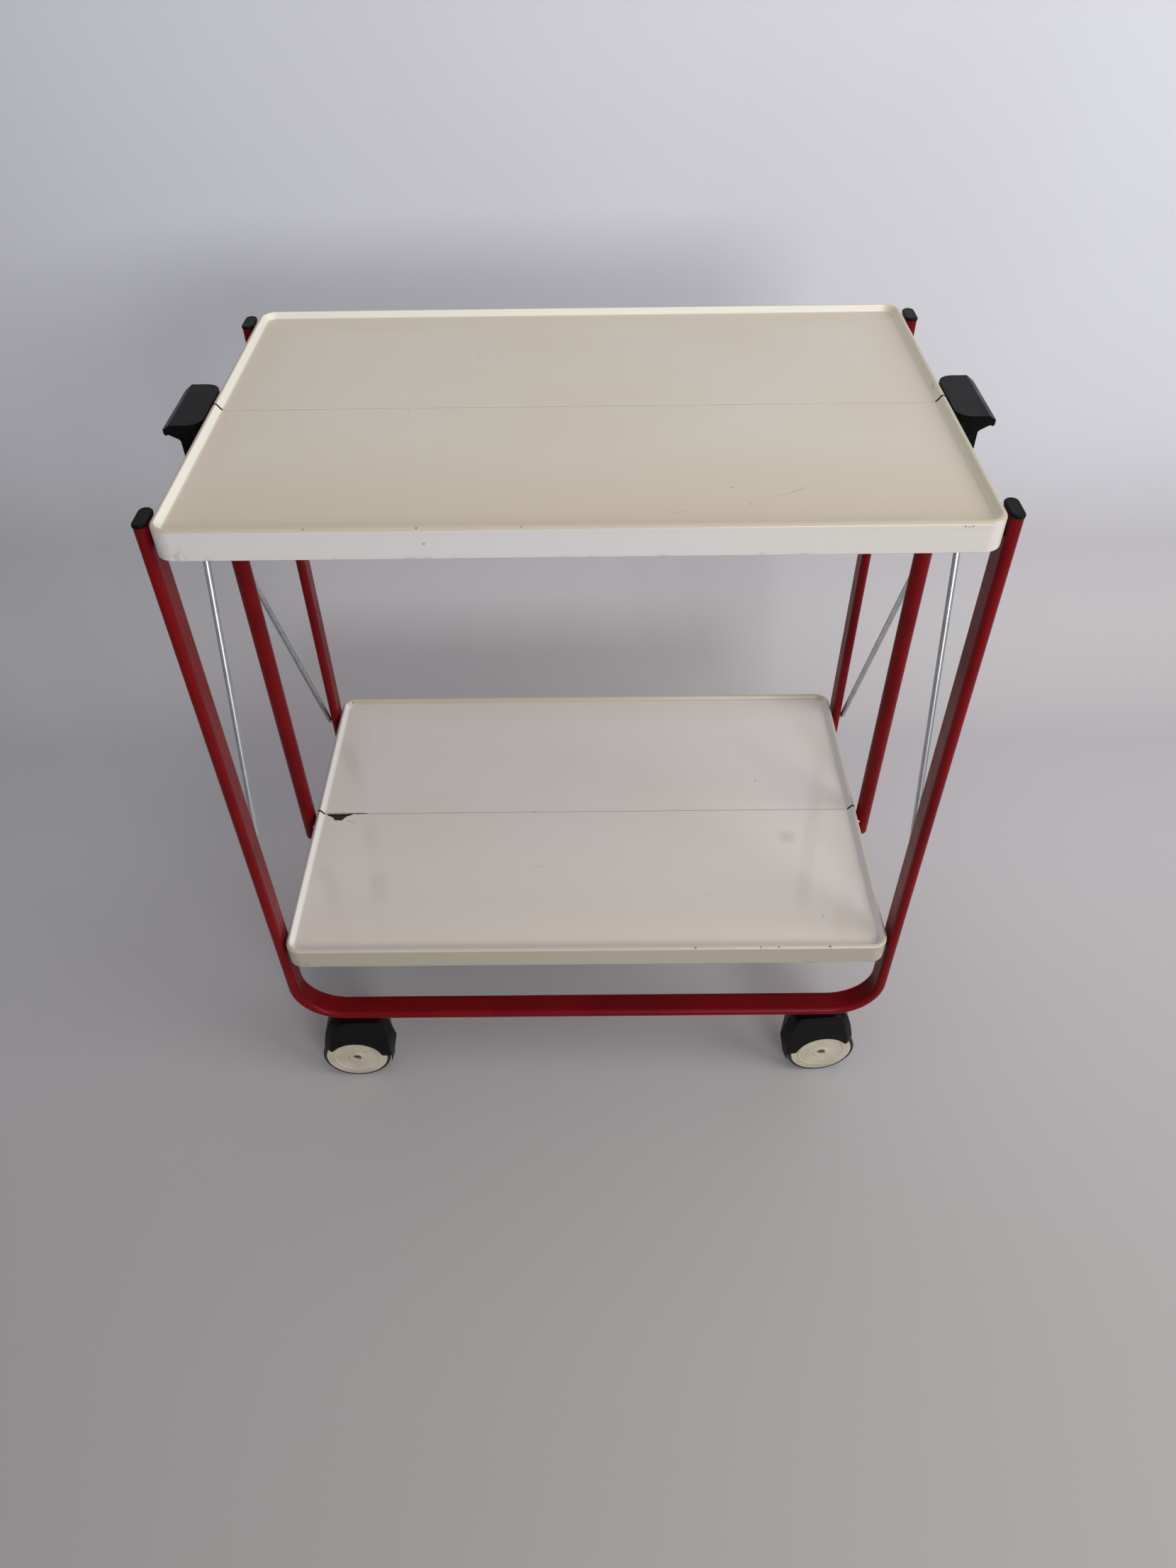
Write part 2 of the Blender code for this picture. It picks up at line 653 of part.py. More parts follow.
def build_leg_cap(end, side, material):
    name = f"{end}_cap_{side}"
    gap = 2 * (TUBE_WALL + SEAT_GAP)
    plug = (TUBE_THIN - gap, TUBE_WIDE - gap)
    head = (TUBE_THIN + 2 * CAP_OVERHANG, TUBE_WIDE + 2 * CAP_OVERHANG)
    foot_z = LEG_TOP + SEAT_GAP
    levels = [(plug, 0, LEG_TOP - CAP_PLUG_DEPTH), (plug, 0, foot_z), (head, 0, foot_z)]
    for degrees in (0, 30, 60):
        turn = math.radians(degrees)
        inset = CAP_ROUND * (1 - math.cos(turn))
        levels.append((head, inset, foot_z + CAP_HEIGHT - CAP_DOME - CAP_ROUND * (1 - math.sin(turn))))
    levels.append((head, CAP_ROUND, foot_z + CAP_HEIGHT - CAP_DOME / 2))
    levels.append((head, CAP_ROUND * 3 / 2, foot_z + CAP_HEIGHT))
    rings = []
    for (thin, wide), inset, z in levels:
        ring = stadium(thin - 2 * inset, wide - 2 * inset, TUBE_END_STEPS)
        rings.append([(x + SIDES[side] * LEG_X, y + ENDS[end] * LEG_Y, z) for x, y in ring])
    mesh = lofted_mesh(name, rings)
    smooth(mesh)
    add_part(name, mesh, material, (SIDES[side] * LEG_X, ENDS[end] * LEG_Y, LEG_TOP))


def build_post(side, material):
    name = f"post_{side}"
    x = SIDES[side] * POST_X
    inner = POST_RADIUS - POST_WALL
    profile = [(inner, POST_TOP), (POST_RADIUS, POST_TOP), (POST_RADIUS, POST_BOTTOM), (inner, POST_BOTTOM)]
    mesh = turned_mesh(name, profile, POST_STEPS, ring=True)
    post = add_part(name, moved(mesh, (x, 0, 0)), material, (x, 0, POST_BOTTOM))
    bores = []
    for end in ENDS.values():
        for pivot_z in TRAYS.values():
            ends = sorted((SIDES[side] * HALF_WIDTH, x - SIDES[side] * POST_WALL))
            bore_radius = POST_PIN_RADIUS + PIN_CLEARANCE
            bore = rod_mesh(name, bore_radius, ends[0], ends[1], steps=THIN_PIN_STEPS)
            bores.append(moved(bore, (0, end * POST_PIVOT_Y, pivot_z)))
    boolean(post, add_object(f"{name}_bores", joined_mesh(name, bores)))


def build_post_pin(tray, end, side, material):
    name = f"post_pin_{tray}_{end}_{side}"
    ends = sorted((SIDES[side] * PIN_FACE_X, SIDES[side] * (POST_X - POST_PIN_TO_AXIS)))
    pivot = (SIDES[side] * HALF_WIDTH, ENDS[end] * POST_PIVOT_Y, TRAYS[tray])
    mesh = rod_mesh(name, POST_PIN_RADIUS, ends[0], ends[1], steps=THIN_PIN_STEPS)
    mesh = moved(mesh, (0, *pivot[1:]))
    smooth(mesh)
    add_part(name, mesh, material, pivot)


def build_leg_pin(tray, end, side, material):
    """A rivet from inside the tray's boss, through the leg, to a domed head outside it."""
    name = f"leg_pin_{tray}_{end}_{side}"
    head = (PIN_HEAD_RADIUS, PIN_HEAD_HEIGHT)
    mesh = rod_mesh(name, LEG_PIN_RADIUS, PIN_FACE_X, LEG_OUTER_FACE + SEAT_GAP, "X", PIN_STEPS, *head)
    if SIDES[side] < 0:
        mesh.transform(Matrix.Rotation(math.pi, 4, "Z"))
    pivot = (SIDES[side] * LEG_X, ENDS[end] * LEG_Y, TRAYS[tray])
    mesh = moved(mesh, (0, *pivot[1:]))
    smooth(mesh)
    add_part(name, mesh, material, pivot)


def handle_profile():
    """The handle's section across the table, as reaches from the post's centre and heights."""
    inner = -(POST_RADIUS + TRAY_TO_POST - HANDLE_TO_TRAY)
    lip_low = HANDLE_TOP - HANDLE_LIP_DROP
    return [
        (inner, HANDLE_TOP),
        (HANDLE_RIDGE_REACH, HANDLE_TOP),
        (HANDLE_LIP_REACH, HANDLE_TOP - HANDLE_CHAMFER_DROP),
        (HANDLE_LIP_REACH, lip_low),
        (HANDLE_LIP_REACH - HANDLE_LIP_THICKNESS, lip_low + HANDLE_LIP_SLANT),
        (POST_RADIUS, HANDLE_TOP - HANDLE_GUSSET_DROP),
        (POST_RADIUS, HANDLE_TOP - HANDLE_WEB_DROP),
        (-HANDLE_WEB_INSET, HANDLE_TOP - HANDLE_WEB_DROP),
        (-HANDLE_WEB_INSET, HANDLE_TOP - HANDLE_PLATE),
        (inner, HANDLE_TOP - HANDLE_PLATE),
    ]


def handle_plan():
    """The handle's outline from above: big rounds toward the tray, small ones on the lip."""
    inner = -(POST_RADIUS + TRAY_TO_POST - HANDLE_TO_TRAY)
    half = HANDLE_LENGTH / 2
    outer = HANDLE_LIP_REACH
    plan = arc((inner + HANDLE_INNER_ROUND, half - HANDLE_INNER_ROUND), HANDLE_INNER_ROUND, 90, 180, 4)
    plan += arc((inner + HANDLE_INNER_ROUND, HANDLE_INNER_ROUND - half), HANDLE_INNER_ROUND, 180, 270, 4)
    plan += arc((outer - HANDLE_OUTER_ROUND, HANDLE_OUTER_ROUND - half), HANDLE_OUTER_ROUND, 270, 360, 2)
    plan += arc((outer - HANDLE_OUTER_ROUND, half - HANDLE_OUTER_ROUND), HANDLE_OUTER_ROUND, 0, 90, 2)
    return plan


def build_handle(side, material):
    """The pull: a plate flush with the rim, a lip for the fingers, and a web and socket on the post."""
    name = f"handle_{side}"
    turn = Matrix.Rotation(math.pi if SIDES[side] < 0 else 0, 4, "Z")
    place = Matrix.Translation((SIDES[side] * POST_X, 0, 0)) @ turn
    shape = outline_mesh(name, handle_profile(), HANDLE_LENGTH + CUT_OVERRUN, "XZ")
    depth = 2 * (HANDLE_WEB_DROP + CUT_OVERRUN)
    plan = moved(outline_mesh(name, handle_plan(), depth), (0, 0, HANDLE_TOP))
    bore_radius = POST_RADIUS + PIN_CLEARANCE
    socket_radius = bore_radius + HANDLE_SOCKET_WALL
    socket = rod_mesh(name, socket_radius, HANDLE_SOCKET_BOTTOM, HANDLE_SOCKET_TOP, "Z", POST_STEPS)
    bore_foot = HANDLE_SOCKET_BOTTOM - CUT_OVERRUN
    bore = rod_mesh(name, bore_radius, bore_foot, POST_TOP + SEAT_GAP, "Z", POST_STEPS)
    for mesh in (shape, plan, socket, bore):
        mesh.transform(place)
    handle = add_part(name, shape, material, (SIDES[side] * POST_X, 0, HANDLE_TOP))
    boolean(handle, add_object(f"{name}_plan", plan), "INTERSECT")
    edges = handle.modifiers.new("edges", "BEVEL")
    edges.width = HANDLE_EDGE_ROUND
    edges.segments = 1
    edges.limit_method = "ANGLE"
    edges.angle_limit = math.radians(50)
    boolean(handle, add_object(f"{name}_socket", socket), "UNION")
    boolean(handle, add_object(f"{name}_bore", bore))
    smooth(handle.data)


def build_slider(side, material):
    """The sleeve that slides on the post, with a flat pad outside for the stay rods."""
    name = f"rod_slider_{side}"
    ring = POST_RADIUS + PIN_CLEARANCE + SLIDER_WALL
    half = SLIDER_PAD_WIDTH / 2
    face = SLIDER_PAD_REACH
    corner = SLIDER_PAD_ROUND
    plan = arc((0, 0), ring, 90, 270, ROUND_STEPS // 2)
    plan += [(ring / 2, -half), (face - corner, -half)]
    plan += arc((face - corner, corner - half), corner, 300, 360, 2)
    plan += arc((face - corner, half - corner), corner, 0, 60, 2)
    plan += [(face - corner, half), (ring / 2, half)]
    mesh = outline_mesh(name, plan, SLIDER_HEIGHT)
    turn = Matrix.Rotation(math.pi if SIDES[side] < 0 else 0, 4, "Z")
    centre = Vector((SIDES[side] * POST_X, 0, ROD_UPPER_HEIGHT))
    mesh.transform(Matrix.Translation(centre) @ turn)
    slider = add_part(name, mesh, material, centre)
    edges = slider.modifiers.new("edges", "BEVEL")
    edges.width = SLIDER_EDGE_ROUND
    edges.segments = 1
    edges.limit_method = "ANGLE"
    edges.angle_limit = math.radians(60)
    bore = rod_mesh(name, POST_RADIUS + PIN_CLEARANCE, -SLIDER_HEIGHT, SLIDER_HEIGHT, "Z", POST_STEPS)
    boolean(slider, add_object(f"{name}_bore", moved(bore, centre)))
    smooth(slider.data)


def build_rod(end, side, material):
    """A stay rod: hooked through the leg's outer wall below, its upper end beside the slider's pad."""
    name = f"stay_rod_{end}_{side}"
    x_sign = SIDES[side]
    y_sign = ENDS[end]
    foot = Vector((x_sign * ROD_LOWER_X, y_sign * ROD_LOWER_Y, ROD_LOWER_HEIGHT))
    top = Vector((x_sign * ROD_UPPER_X, y_sign * ROD_UPPER_Y, ROD_UPPER_HEIGHT))
    hook_x = LEG_OUTER_FACE - TUBE_WALL - ROD_PAST_WALL
    hook = Vector((x_sign * hook_x, foot.y, foot.z))
    tip = top + (top - foot).normalized() * ROD_END_PAST
    curve = bar_curve(name, rounded_path([hook, foot, tip], ROD_BEND_RADIUS, BEND_STEPS))
    curve.bevel_depth = ROD_RADIUS
    mesh = mesh_of_curve(curve, name)
    bm = bmesh.new()
    bm.from_mesh(mesh)
    mesh = mesh_from(bm, name)
    smooth(mesh)
    add_part(name, mesh, material, foot)


def hood_mesh(name):
    """The hood's body as a loft of its outlines from above, in caster axes: +X trails, the pin at x = 0."""
    half = HOOD_THICKNESS / 2
    rings = []
    for height_share, tail_share, ridge_share, cheek_share in HOOD_LEVEL_SHARES:
        tail = HOOD_TAIL_REACH * tail_share
        ridge = HOOD_NOSE_REACH * ridge_share
        cheek = HOOD_CHEEK_FRONT * cheek_share
        plan = [(-cheek, -half), (-ridge, 0), (-cheek, half)]
        plan += [(tail - HOOD_TAIL_ROUND, half), (tail, half - HOOD_TAIL_ROUND)]
        plan += [(tail, HOOD_TAIL_ROUND - half), (tail - HOOD_TAIL_ROUND, -half)]
        rings.append([(CASTER_TRAIL + x, y, HOOD_TOP * height_share) for x, y in plan])
    return lofted_mesh(name, rings)


def hood_cavities(name):
    """Room for the two wheels, one each side of the web."""
    centre = (CASTER_TRAIL, 0, AXLE_Z)
    radius = WHEEL_RADIUS + HOOD_WHEEL_GAP
    shapes = []
    for start, end in ((-CAVITY_OUTER, -HOOD_WEB / 2), (HOOD_WEB / 2, CAVITY_OUTER)):
        shapes.append(moved(rod_mesh(name, radius, start, end, "Y", WHEEL_STEPS), centre))
    return joined_mesh(name, shapes)


def hood_arches(name):
    """What is cut from both cheeks below the arch that shows the wheels."""
    radius = HOOD_ARCH_RADIUS
    side_x = HOOD_CHEEK_FRONT + CUT_OVERRUN
    foot = -WHEEL_RADIUS - CUT_OVERRUN
    start = math.degrees(math.asin(HOOD_TAIL_FOOT / radius))
    end = 180 - math.degrees(math.asin(HOOD_CHEEK_FOOT / radius))
    outline = [(side_x, HOOD_TAIL_FOOT)]
    outline += arc((0, 0), radius, start, end, ARCH_STEPS)
    outline += [(-side_x, HOOD_CHEEK_FOOT), (-side_x, foot), (side_x, foot)]
    depth = HOOD_THICKNESS / 2 - CAVITY_OUTER + CUT_OVERRUN
    shapes = []
    for side in (-1, 1):
        shape = outline_mesh(name, outline, depth, "XZ")
        shapes.append(moved(shape, (CASTER_TRAIL, side * (CAVITY_OUTER - SEAT_GAP + depth / 2), AXLE_Z)))
    return joined_mesh(name, shapes)


def hood_web_cut(name):
    """What is cut through the hood's foot, so that the web ends round the axle."""
    eye = AXLE_EYE_RADIUS
    nose_x = HOOD_WHEEL_GAP - HOOD_CHEEK_FRONT
    outline = arc((0, 0), eye, 360, 270, ROUND_STEPS // 2)
    outline += [(nose_x, -eye), (nose_x, -WHEEL_RADIUS), (HOOD_CHEEK_FRONT, -WHEEL_RADIUS)]
    outline += [(HOOD_CHEEK_FRONT, HOOD_TAIL_FOOT), (eye, HOOD_TAIL_FOOT)]
    mesh = outline_mesh(name, outline, HOOD_THICKNESS + CUT_OVERRUN, "XZ")
    return moved(mesh, (CASTER_TRAIL, 0, AXLE_Z))


def hood_bores(name):
    """The blind bore for the frame's pin and the axle's bore."""
    foot = HOOD_TOP - STEM_DEPTH - STEM_END_GAP
    pin = rod_mesh(name, STEM_RADIUS + PIN_CLEARANCE, foot, HOOD_TOP + CUT_OVERRUN, "Z", ROUND_STEPS)
    axle = rod_mesh(name, AXLE_RADIUS + PIN_CLEARANCE, -HOOD_WEB, HOOD_WEB, "Y", ROUND_STEPS)
    return joined_mesh(name, [pin, moved(axle, (CASTER_TRAIL, 0, AXLE_Z))])


def build_hood(name, material, swivel):
    hood = add_object(name, hood_mesh(name), material, parent=swivel)
    edges = hood.modifiers.new("edges", "BEVEL")
    edges.width = HOOD_EDGE_ROUND
    edges.segments = 1
    edges.limit_method = "ANGLE"
    edges.angle_limit = math.radians(50)
    # the exact solver loses the bevelled body at the arches
    for kind, make, solver in (
        ("cavities", hood_cavities, "EXACT"),
        ("arches", hood_arches, "MANIFOLD"),
        ("web_cut", hood_web_cut, "EXACT"),
        ("bores", hood_bores, "EXACT"),
    ):
        cutter = add_object(f"{name}_{kind}", make(name), parent=swivel)
        boolean(hood, cutter, solver=solver)
    smooth(hood.data, 22)


def tyre_profile():
    """Pairs of radius and distance out from the caster's middle, round the tyre's section."""
    inner, outer, radius = WHEEL_INNER_FACE, WHEEL_OUTER_FACE - TYRE_SET_BACK, WHEEL_RADIUS
    bore = DISC_RADIUS + SEAT_GAP
    return [
        (bore, inner),
        (radius, inner),
        (radius, outer - TYRE_ROUND),
        (radius - TYRE_ROUND, outer),
        (bore, outer),
    ]


def disc_profile():
    """Pairs of radius and distance out, round the hub disc's section: bore, rim, raised ring and hole."""
    inner, face = WHEEL_INNER_FACE, WHEEL_OUTER_FACE
    bore = AXLE_RADIUS + PIN_CLEARANCE
    ring_low = DISC_RING_RADIUS - DISC_RING_WIDTH
    ring_high = DISC_RING_RADIUS + DISC_RING_WIDTH
    return [
        (bore, inner),
        (DISC_RADIUS, inner),
        (DISC_RADIUS, face),
        (ring_high, face),
        (DISC_RING_RADIUS, face + DISC_RING_DEPTH),
        (ring_low, face),
        (DISC_HOLE_RADIUS, face),
        (DISC_HOLE_RADIUS, face - DISC_HOLE_DEPTH),
        (bore, face - DISC_HOLE_DEPTH),
    ]


def wheel_mesh(name, profile, face):
    """A turned wheel piece about the caster's axle, on the side of its middle that face gives."""
    mesh = turned_mesh(name, profile, WHEEL_STEPS, ring=True)
    mesh.transform(Matrix.Rotation(math.radians(-90 * face), 4, "X"))
    return moved(mesh, (CASTER_TRAIL, 0, AXLE_Z))


def build_caster(end, side, materials):
    base = f"caster_{end}_{side}"
    place = (SIDES[side] * CASTER_X, ENDS[end] * LEG_Y, 0)
    swivel = add_empty(f"{base}_swivel", place, CASTER_TURNS[end, side])
    build_hood(f"{base}_hood", materials["black plastic"], swivel)
    hub = (CASTER_TRAIL, 0, AXLE_Z)
    reach = WHEEL_OUTER_FACE - AXLE_RECESS
    axle = moved(rod_mesh(base, AXLE_RADIUS, -reach, reach, "Y", ROUND_STEPS), hub)
    smooth(axle)
    add_part(f"{base}_axle", axle, materials["brass"], hub, swivel)
    for face, word in ((-1, "a"), (1, "b")):
        tyre = wheel_mesh(base, tyre_profile(), face)
        add_part(f"{base}_tyre_{word}", tyre, materials["black rubber"], hub, swivel)
        disc = wheel_mesh(base, disc_profile(), face)
        add_part(f"{base}_disc_{word}", disc, materials["cream plastic"], hub, swivel)


def build_table():
    materials = {
        "red paint": make_material("red paint", (0.300, 0.012, 0.014), 0.32),
        "ivory plastic": make_material("ivory plastic", (0.680, 0.590, 0.450), 0.42),
        "white plastic": make_material("white plastic", (0.700, 0.670, 0.600), 0.42),
        "black plastic": make_material("black plastic", (0.018, 0.018, 0.020), 0.45),
        "zinc steel": make_material("zinc steel", (0.560, 0.560, 0.540), 0.35, 1.0),
        "black rubber": make_material("black rubber", (0.020, 0.020, 0.020), 0.70),
        "cream plastic": make_material("cream plastic", (0.640, 0.590, 0.480), 0.50),
        "brass": make_material("brass", (0.320, 0.200, 0.100), 0.45, 1.0),
    }
    for end in ENDS:
        build_frame(end, materials["red paint"])
        build_tray_half("top", end, materials["ivory plastic"])
        build_tray_half("bottom", end, materials["white plastic"])
        for side in SIDES:
            build_leg_cap(end, side, materials["black plastic"])
            build_rod(end, side, materials["zinc steel"])
            build_caster(end, side, materials)
            for tray in TRAYS:
                build_leg_pin(tray, end, side, materials["zinc steel"])
                build_post_pin(tray, end, side, materials["zinc steel"])
    for side in SIDES:
        build_post(side, materials["red paint"])
        build_handle(side, materials["black plastic"])
        build_slider(side, materials["black plastic"])


clear_scene()
TABLE = new_collection("serving_table")
CUTTERS = new_collection("cutters")
build_table()
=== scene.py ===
"""The looks of a folding serving table: fine shapes, aged materials, light, stage and camera.

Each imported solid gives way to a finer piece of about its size, in its place and on its body.
Lengths are in metres, +Z is up and the front looks along -Y. Both sides, and front and back, are mirrored.
"""
import json
import math

import bmesh
import bpy
from mathutils import Matrix, Vector


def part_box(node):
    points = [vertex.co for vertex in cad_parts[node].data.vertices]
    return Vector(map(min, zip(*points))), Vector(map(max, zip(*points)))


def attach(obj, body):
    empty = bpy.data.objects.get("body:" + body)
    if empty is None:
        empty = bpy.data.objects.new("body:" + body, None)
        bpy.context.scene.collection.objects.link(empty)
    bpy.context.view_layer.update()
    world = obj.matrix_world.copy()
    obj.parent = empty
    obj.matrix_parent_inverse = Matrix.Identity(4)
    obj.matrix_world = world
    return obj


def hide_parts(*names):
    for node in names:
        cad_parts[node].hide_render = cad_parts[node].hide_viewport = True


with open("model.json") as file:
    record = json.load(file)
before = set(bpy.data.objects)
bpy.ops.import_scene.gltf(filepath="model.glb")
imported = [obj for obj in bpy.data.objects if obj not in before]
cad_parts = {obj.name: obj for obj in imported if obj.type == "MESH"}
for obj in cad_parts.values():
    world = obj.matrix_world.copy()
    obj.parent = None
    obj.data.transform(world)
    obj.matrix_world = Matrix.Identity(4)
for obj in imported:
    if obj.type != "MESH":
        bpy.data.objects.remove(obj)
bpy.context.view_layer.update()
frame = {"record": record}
RECORD = frame["record"]
SLOTS = {part["node"]: part["material_slot"] for part in RECORD["subparts"]}
BODIES = {node: body for body, nodes in RECORD["behaviour"]["bodies"].items() for node in nodes}
HINGES = [joint for joint in RECORD["behaviour"]["joints"] if "pos_m" in joint]
PLACES = {joint["name"]: Vector(joint["pos_m"]) for joint in HINGES}
SIDES = {"left": -1, "right": 1}
ENDS = {"front": -1, "back": 1}
TRAYS = ("top", "bottom")


def low(name):
    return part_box(name)[0]


def high(name):
    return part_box(name)[1]


# gaps between pieces
SEAT_GAP = 0.0003
PIN_GAP = 0.0002
CUT_PAST = 0.01

# trays
HALF_WIDTH = 0.302
HALF_DEPTH = high("top_tray_back").y
TRAY_WALL = 0.0025
TRAY_CORNER = 0.0155
RIM = {tray: high(f"{tray}_tray_back").z for tray in TRAYS}
SKIRT_FOOT = {tray: low(f"{tray}_tray_back").z for tray in TRAYS}
PIVOT = {"top": PLACES["fold"].z, "bottom": PLACES["bottom_front_fold"].z}
FOLD_GAP = low("top_tray_back").y
BOSS_REACH = high("top_tray_back").x
POST_PIVOT_Y = PLACES["top_back_fold"].y
RIM_DROP = 0.0055
RIM_ROUND = 0.0026
RIM_LAND = 0.0008
RIM_SLOPE = 0.0056
SLOPE_LEAN_SHARE = 0.72
FLOOR = {tray: RIM[tray] - RIM_DROP for tray in TRAYS}
FOOT_ROUND = 0.0006
RIM_SET_BACK = 0.0009
RIM_CUT_LIFT = 0.0004
RIM_END_ROUND = 0.0006
RIB_THICKNESS = 0.002
RIB_HEIGHT = 0.007
RIB_STEP = 0.001
RIB_SPACING = 0.14
BOSS_RADIUS = 0.0046
BOSS_DEPTH = 0.006
KNUCKLE_RADIUS = 0.00485
CHIP_DEPTH = 0.0021
CHIP_SLANT_SHARE = 0.86
# the broken place on the lower front half, from above
CHIP_OUTLINE = (
    (-0.2937, 0.003), (-0.293, -0.0012), (-0.2908, -0.0034), (-0.2872, -0.0048), (-0.2846, -0.0069),
    (-0.283, -0.0098), (-0.2806, -0.0112), (-0.2771, -0.0108), (-0.2742, -0.0117), (-0.2718, -0.0092),
    (-0.2701, -0.0063), (-0.2678, -0.0042), (-0.2646, -0.0031), (-0.2619, -0.0012), (-0.2613, 0.003),
)

# frames of flat-oval tube
TUBE_WIDE = 0.026
TUBE_THIN = 0.01
TUBE_WALL = 0.0013
BEND_RADIUS = 0.048
LEG_TOP = high("front_frame").z
LEG_X = high("front_frame").x - TUBE_THIN / 2
LEG_Y = PLACES["back_legs_hinge"].y
STEM_FOOT = low("front_frame").z
STEM_RADIUS = 0.004
STEM_COLLAR_RADIUS = 0.0076
STEM_COLLAR_HEIGHT = 0.0024
STEM_COLLAR_EDGE = 0.0005
STEM_END_GAP = 0.001
TUBE_RAISE = 0.0038
TUBE_TOP = LEG_TOP + TUBE_RAISE
CAP_LOWERING = 0.001
CAP_TOP = high("front_cap_left").z - CAP_LOWERING
CAP_SEAT_GAP = 0.0001
CAP_OVERHANG = 0.0005
CAP_ROUND = 0.0016
CAP_DISH = 0.0003

# posts, handles and sliders
POST_X = (low("post_right").x + high("post_right").x) / 2
POST_RADIUS = high("post_right").y
POST_WALL = 0.0013
POST_EDGE = 0.0003
HANDLE_TOP = high("handle_right").z
HANDLE_HALF = high("handle_right").y
HANDLE_INNER = HALF_WIDTH + SEAT_GAP - POST_X
HANDLE_LIP = high("handle_right").x - POST_X
HANDLE_FOOT = low("handle_right").z
HANDLE_RIDGE = 0.015
HANDLE_PLATE = 0.005
HANDLE_CHAMFER_DROP = 0.0046
HANDLE_CHAMFER_ROUND = 0.0012
HANDLE_LIP_DROP = 0.01
HANDLE_LIP_THICKNESS = 0.0048
HANDLE_LIP_SLANT = 0.0024
HANDLE_LIP_ROUND = 0.0023
HANDLE_GUSSET_DROP = 0.0126
HANDLE_GUSSET_ROUND = 0.003
HANDLE_INNER_ROUND = 0.013
HANDLE_OUTER_ROUND = 0.004
HANDLE_EDGE = 0.0014
HANDLE_WEB_INSET = 0.0026
HANDLE_WEB_DROP = 0.0365
HANDLE_SOCKET_TOP = 0.0295
HANDLE_SOCKET_WALL = 0.0023
POST_TOP_DROP = 0.0065
SLIDER_WALL = 0.0025
SLIDER_PAD_ROUND = 0.003
SLIDER_EDGE = 0.001

# stay rods and pins
ROD_RADIUS = 0.003
ROD_BEND = 0.0034
ROD_HOOK_X = 0.311
ROD_UPPER_X = 0.3345
ROD_UPPER_Y = 0.008
ROD_PAST = 0.005
ROD_END_ROUND = 0.0009
LEG_PIN_RADIUS = 0.0025
LEG_PIN_HEAD = 0.0033
LEG_PIN_HEAD_HEIGHT = 0.0016
POST_PIN_RADIUS = 0.002

# casters, from the hub's middle
HOOD_TOP = PLACES["caster_front_left_swivel"].z
WHEEL_RADIUS = PLACES["caster_front_left_spin"].z
TRAIL = (PLACES["caster_back_left_spin"] - PLACES["caster_back_left_swivel"]).xy.length
WHEEL_INNER = 0.0026
WHEEL_OUTER = 0.013
HOOD_WEB = 0.0042
HOOD_CHEEK = 0.0022
HOOD_WHEEL_GAP = 0.0013
HOOD_CHEEK_FRONT = 0.0393
HOOD_NOSE = 0.0467
HOOD_TAIL = 0.0338
HOOD_TAIL_ROUND = 0.007
HOOD_TAIL_FOOT = 0.0165
HOOD_CHEEK_FOOT = 0.005
HOOD_ARCH_RADIUS = 0.0292
HOOD_EAR_ROUND = 0.003
HOOD_EDGE = 0.0013
AXLE_EYE = 0.0095
# the hood's outline at each height: shares of its height, and of the reach of tail, nose ridge and cheeks
HOOD_SHARES = (
    (0.23, 1.0, 0.86, 0.94), (0.31, 1.0, 0.88, 1.0),
    (0.56, 0.99, 1.0, 1.0), (0.745, 0.86, 0.91, 1.0),
    (0.885, 0.71, 0.845, 0.955), (0.96, 0.56, 0.8, 0.905),
    (1.0, 0.33, 0.74, 0.83),
)
DISC_RADIUS = 0.0338
DISC_EDGE = 0.0006
RING_RADIUS = 0.0252
RING_HALF = 0.0016
RING_RISE = 0.0005
COLLAR_RADIUS = 0.008
COLLAR_RISE = 0.0006
HOLE_RADIUS = 0.0047
HOLE_DEPTH = 0.003
HOLE_EDGE = 0.0005
TYRE_ROUND = 0.0024
TYRE_SET_BACK = 0.0003
AXLE_RADIUS = 0.003
AXLE_RECESS = 0.002
AXLE_EDGE = 0.0004
AXLE_HEAD_RADIUS = 0.0045
AXLE_HEAD = 0.0009

# the sheet behind and below, and where its colours and its painted light and shade change
SWEEP_FRONT = -2.6
SWEEP_HALF = 3.2
SWEEP_TOP = 2.6
SWEEP_BEND = 0.22
WALL_Y = 0.6
STAGE_FAR_Y = (-0.95, 0.25)
STAGE_WALL_Z = (0.02, 0.45)
STAGE_LIT_SPOT = (0.25, 0.6, 0.7)
STAGE_FALLOFF_REACH = (0.6, 1.7)

# each lamp's place, aim, size, power and colour
LAMPS = {
    "window": ((0.75, -2.1, 1.2), (0.0, 0.1, 0.45), (0.8, 0.6), 22, (1.0, 0.99, 0.97)),
    "room": ((2.0, -0.9, 1.45), (0.0, 0.05, 0.35), (1.4, 1.1), 22, (1.0, 0.985, 0.96)),
    "ceiling": ((0.4, -0.2, 2.4), (0.05, 0.05, 0.3), (2.0, 2.0), 14, (0.97, 0.98, 1.0)),
}
WORLD_COLOUR = (0.93, 0.95, 1.0)
WORLD_STRENGTH = 0.34

# the camera, with its angles in radians and its lens in millimetres
CAMERA_PLACE = (0.01026, -0.87067, 1.1255)
CAMERA_PITCH = math.radians(44.108)
CAMERA_YAW = 0.00835
CAMERA_ROLL = -0.01564
CAMERA_SENSOR = 36
CAMERA_LENS = 33.757

# how near points count as one plane, the flat origin and a square's corners
NEAR = 0.00002
ORIGIN = (0, 0)
SQUARE = ((1, 1), (-1, 1), (-1, -1), (1, -1))

# how much of a speck or mark has its full strength, and how much of a mark's length fades out at each end
SPECK_CORE_SHARE = 0.6
MARK_CORE_SHARE = 0.3
MARK_FADE_SHARE = 0.2

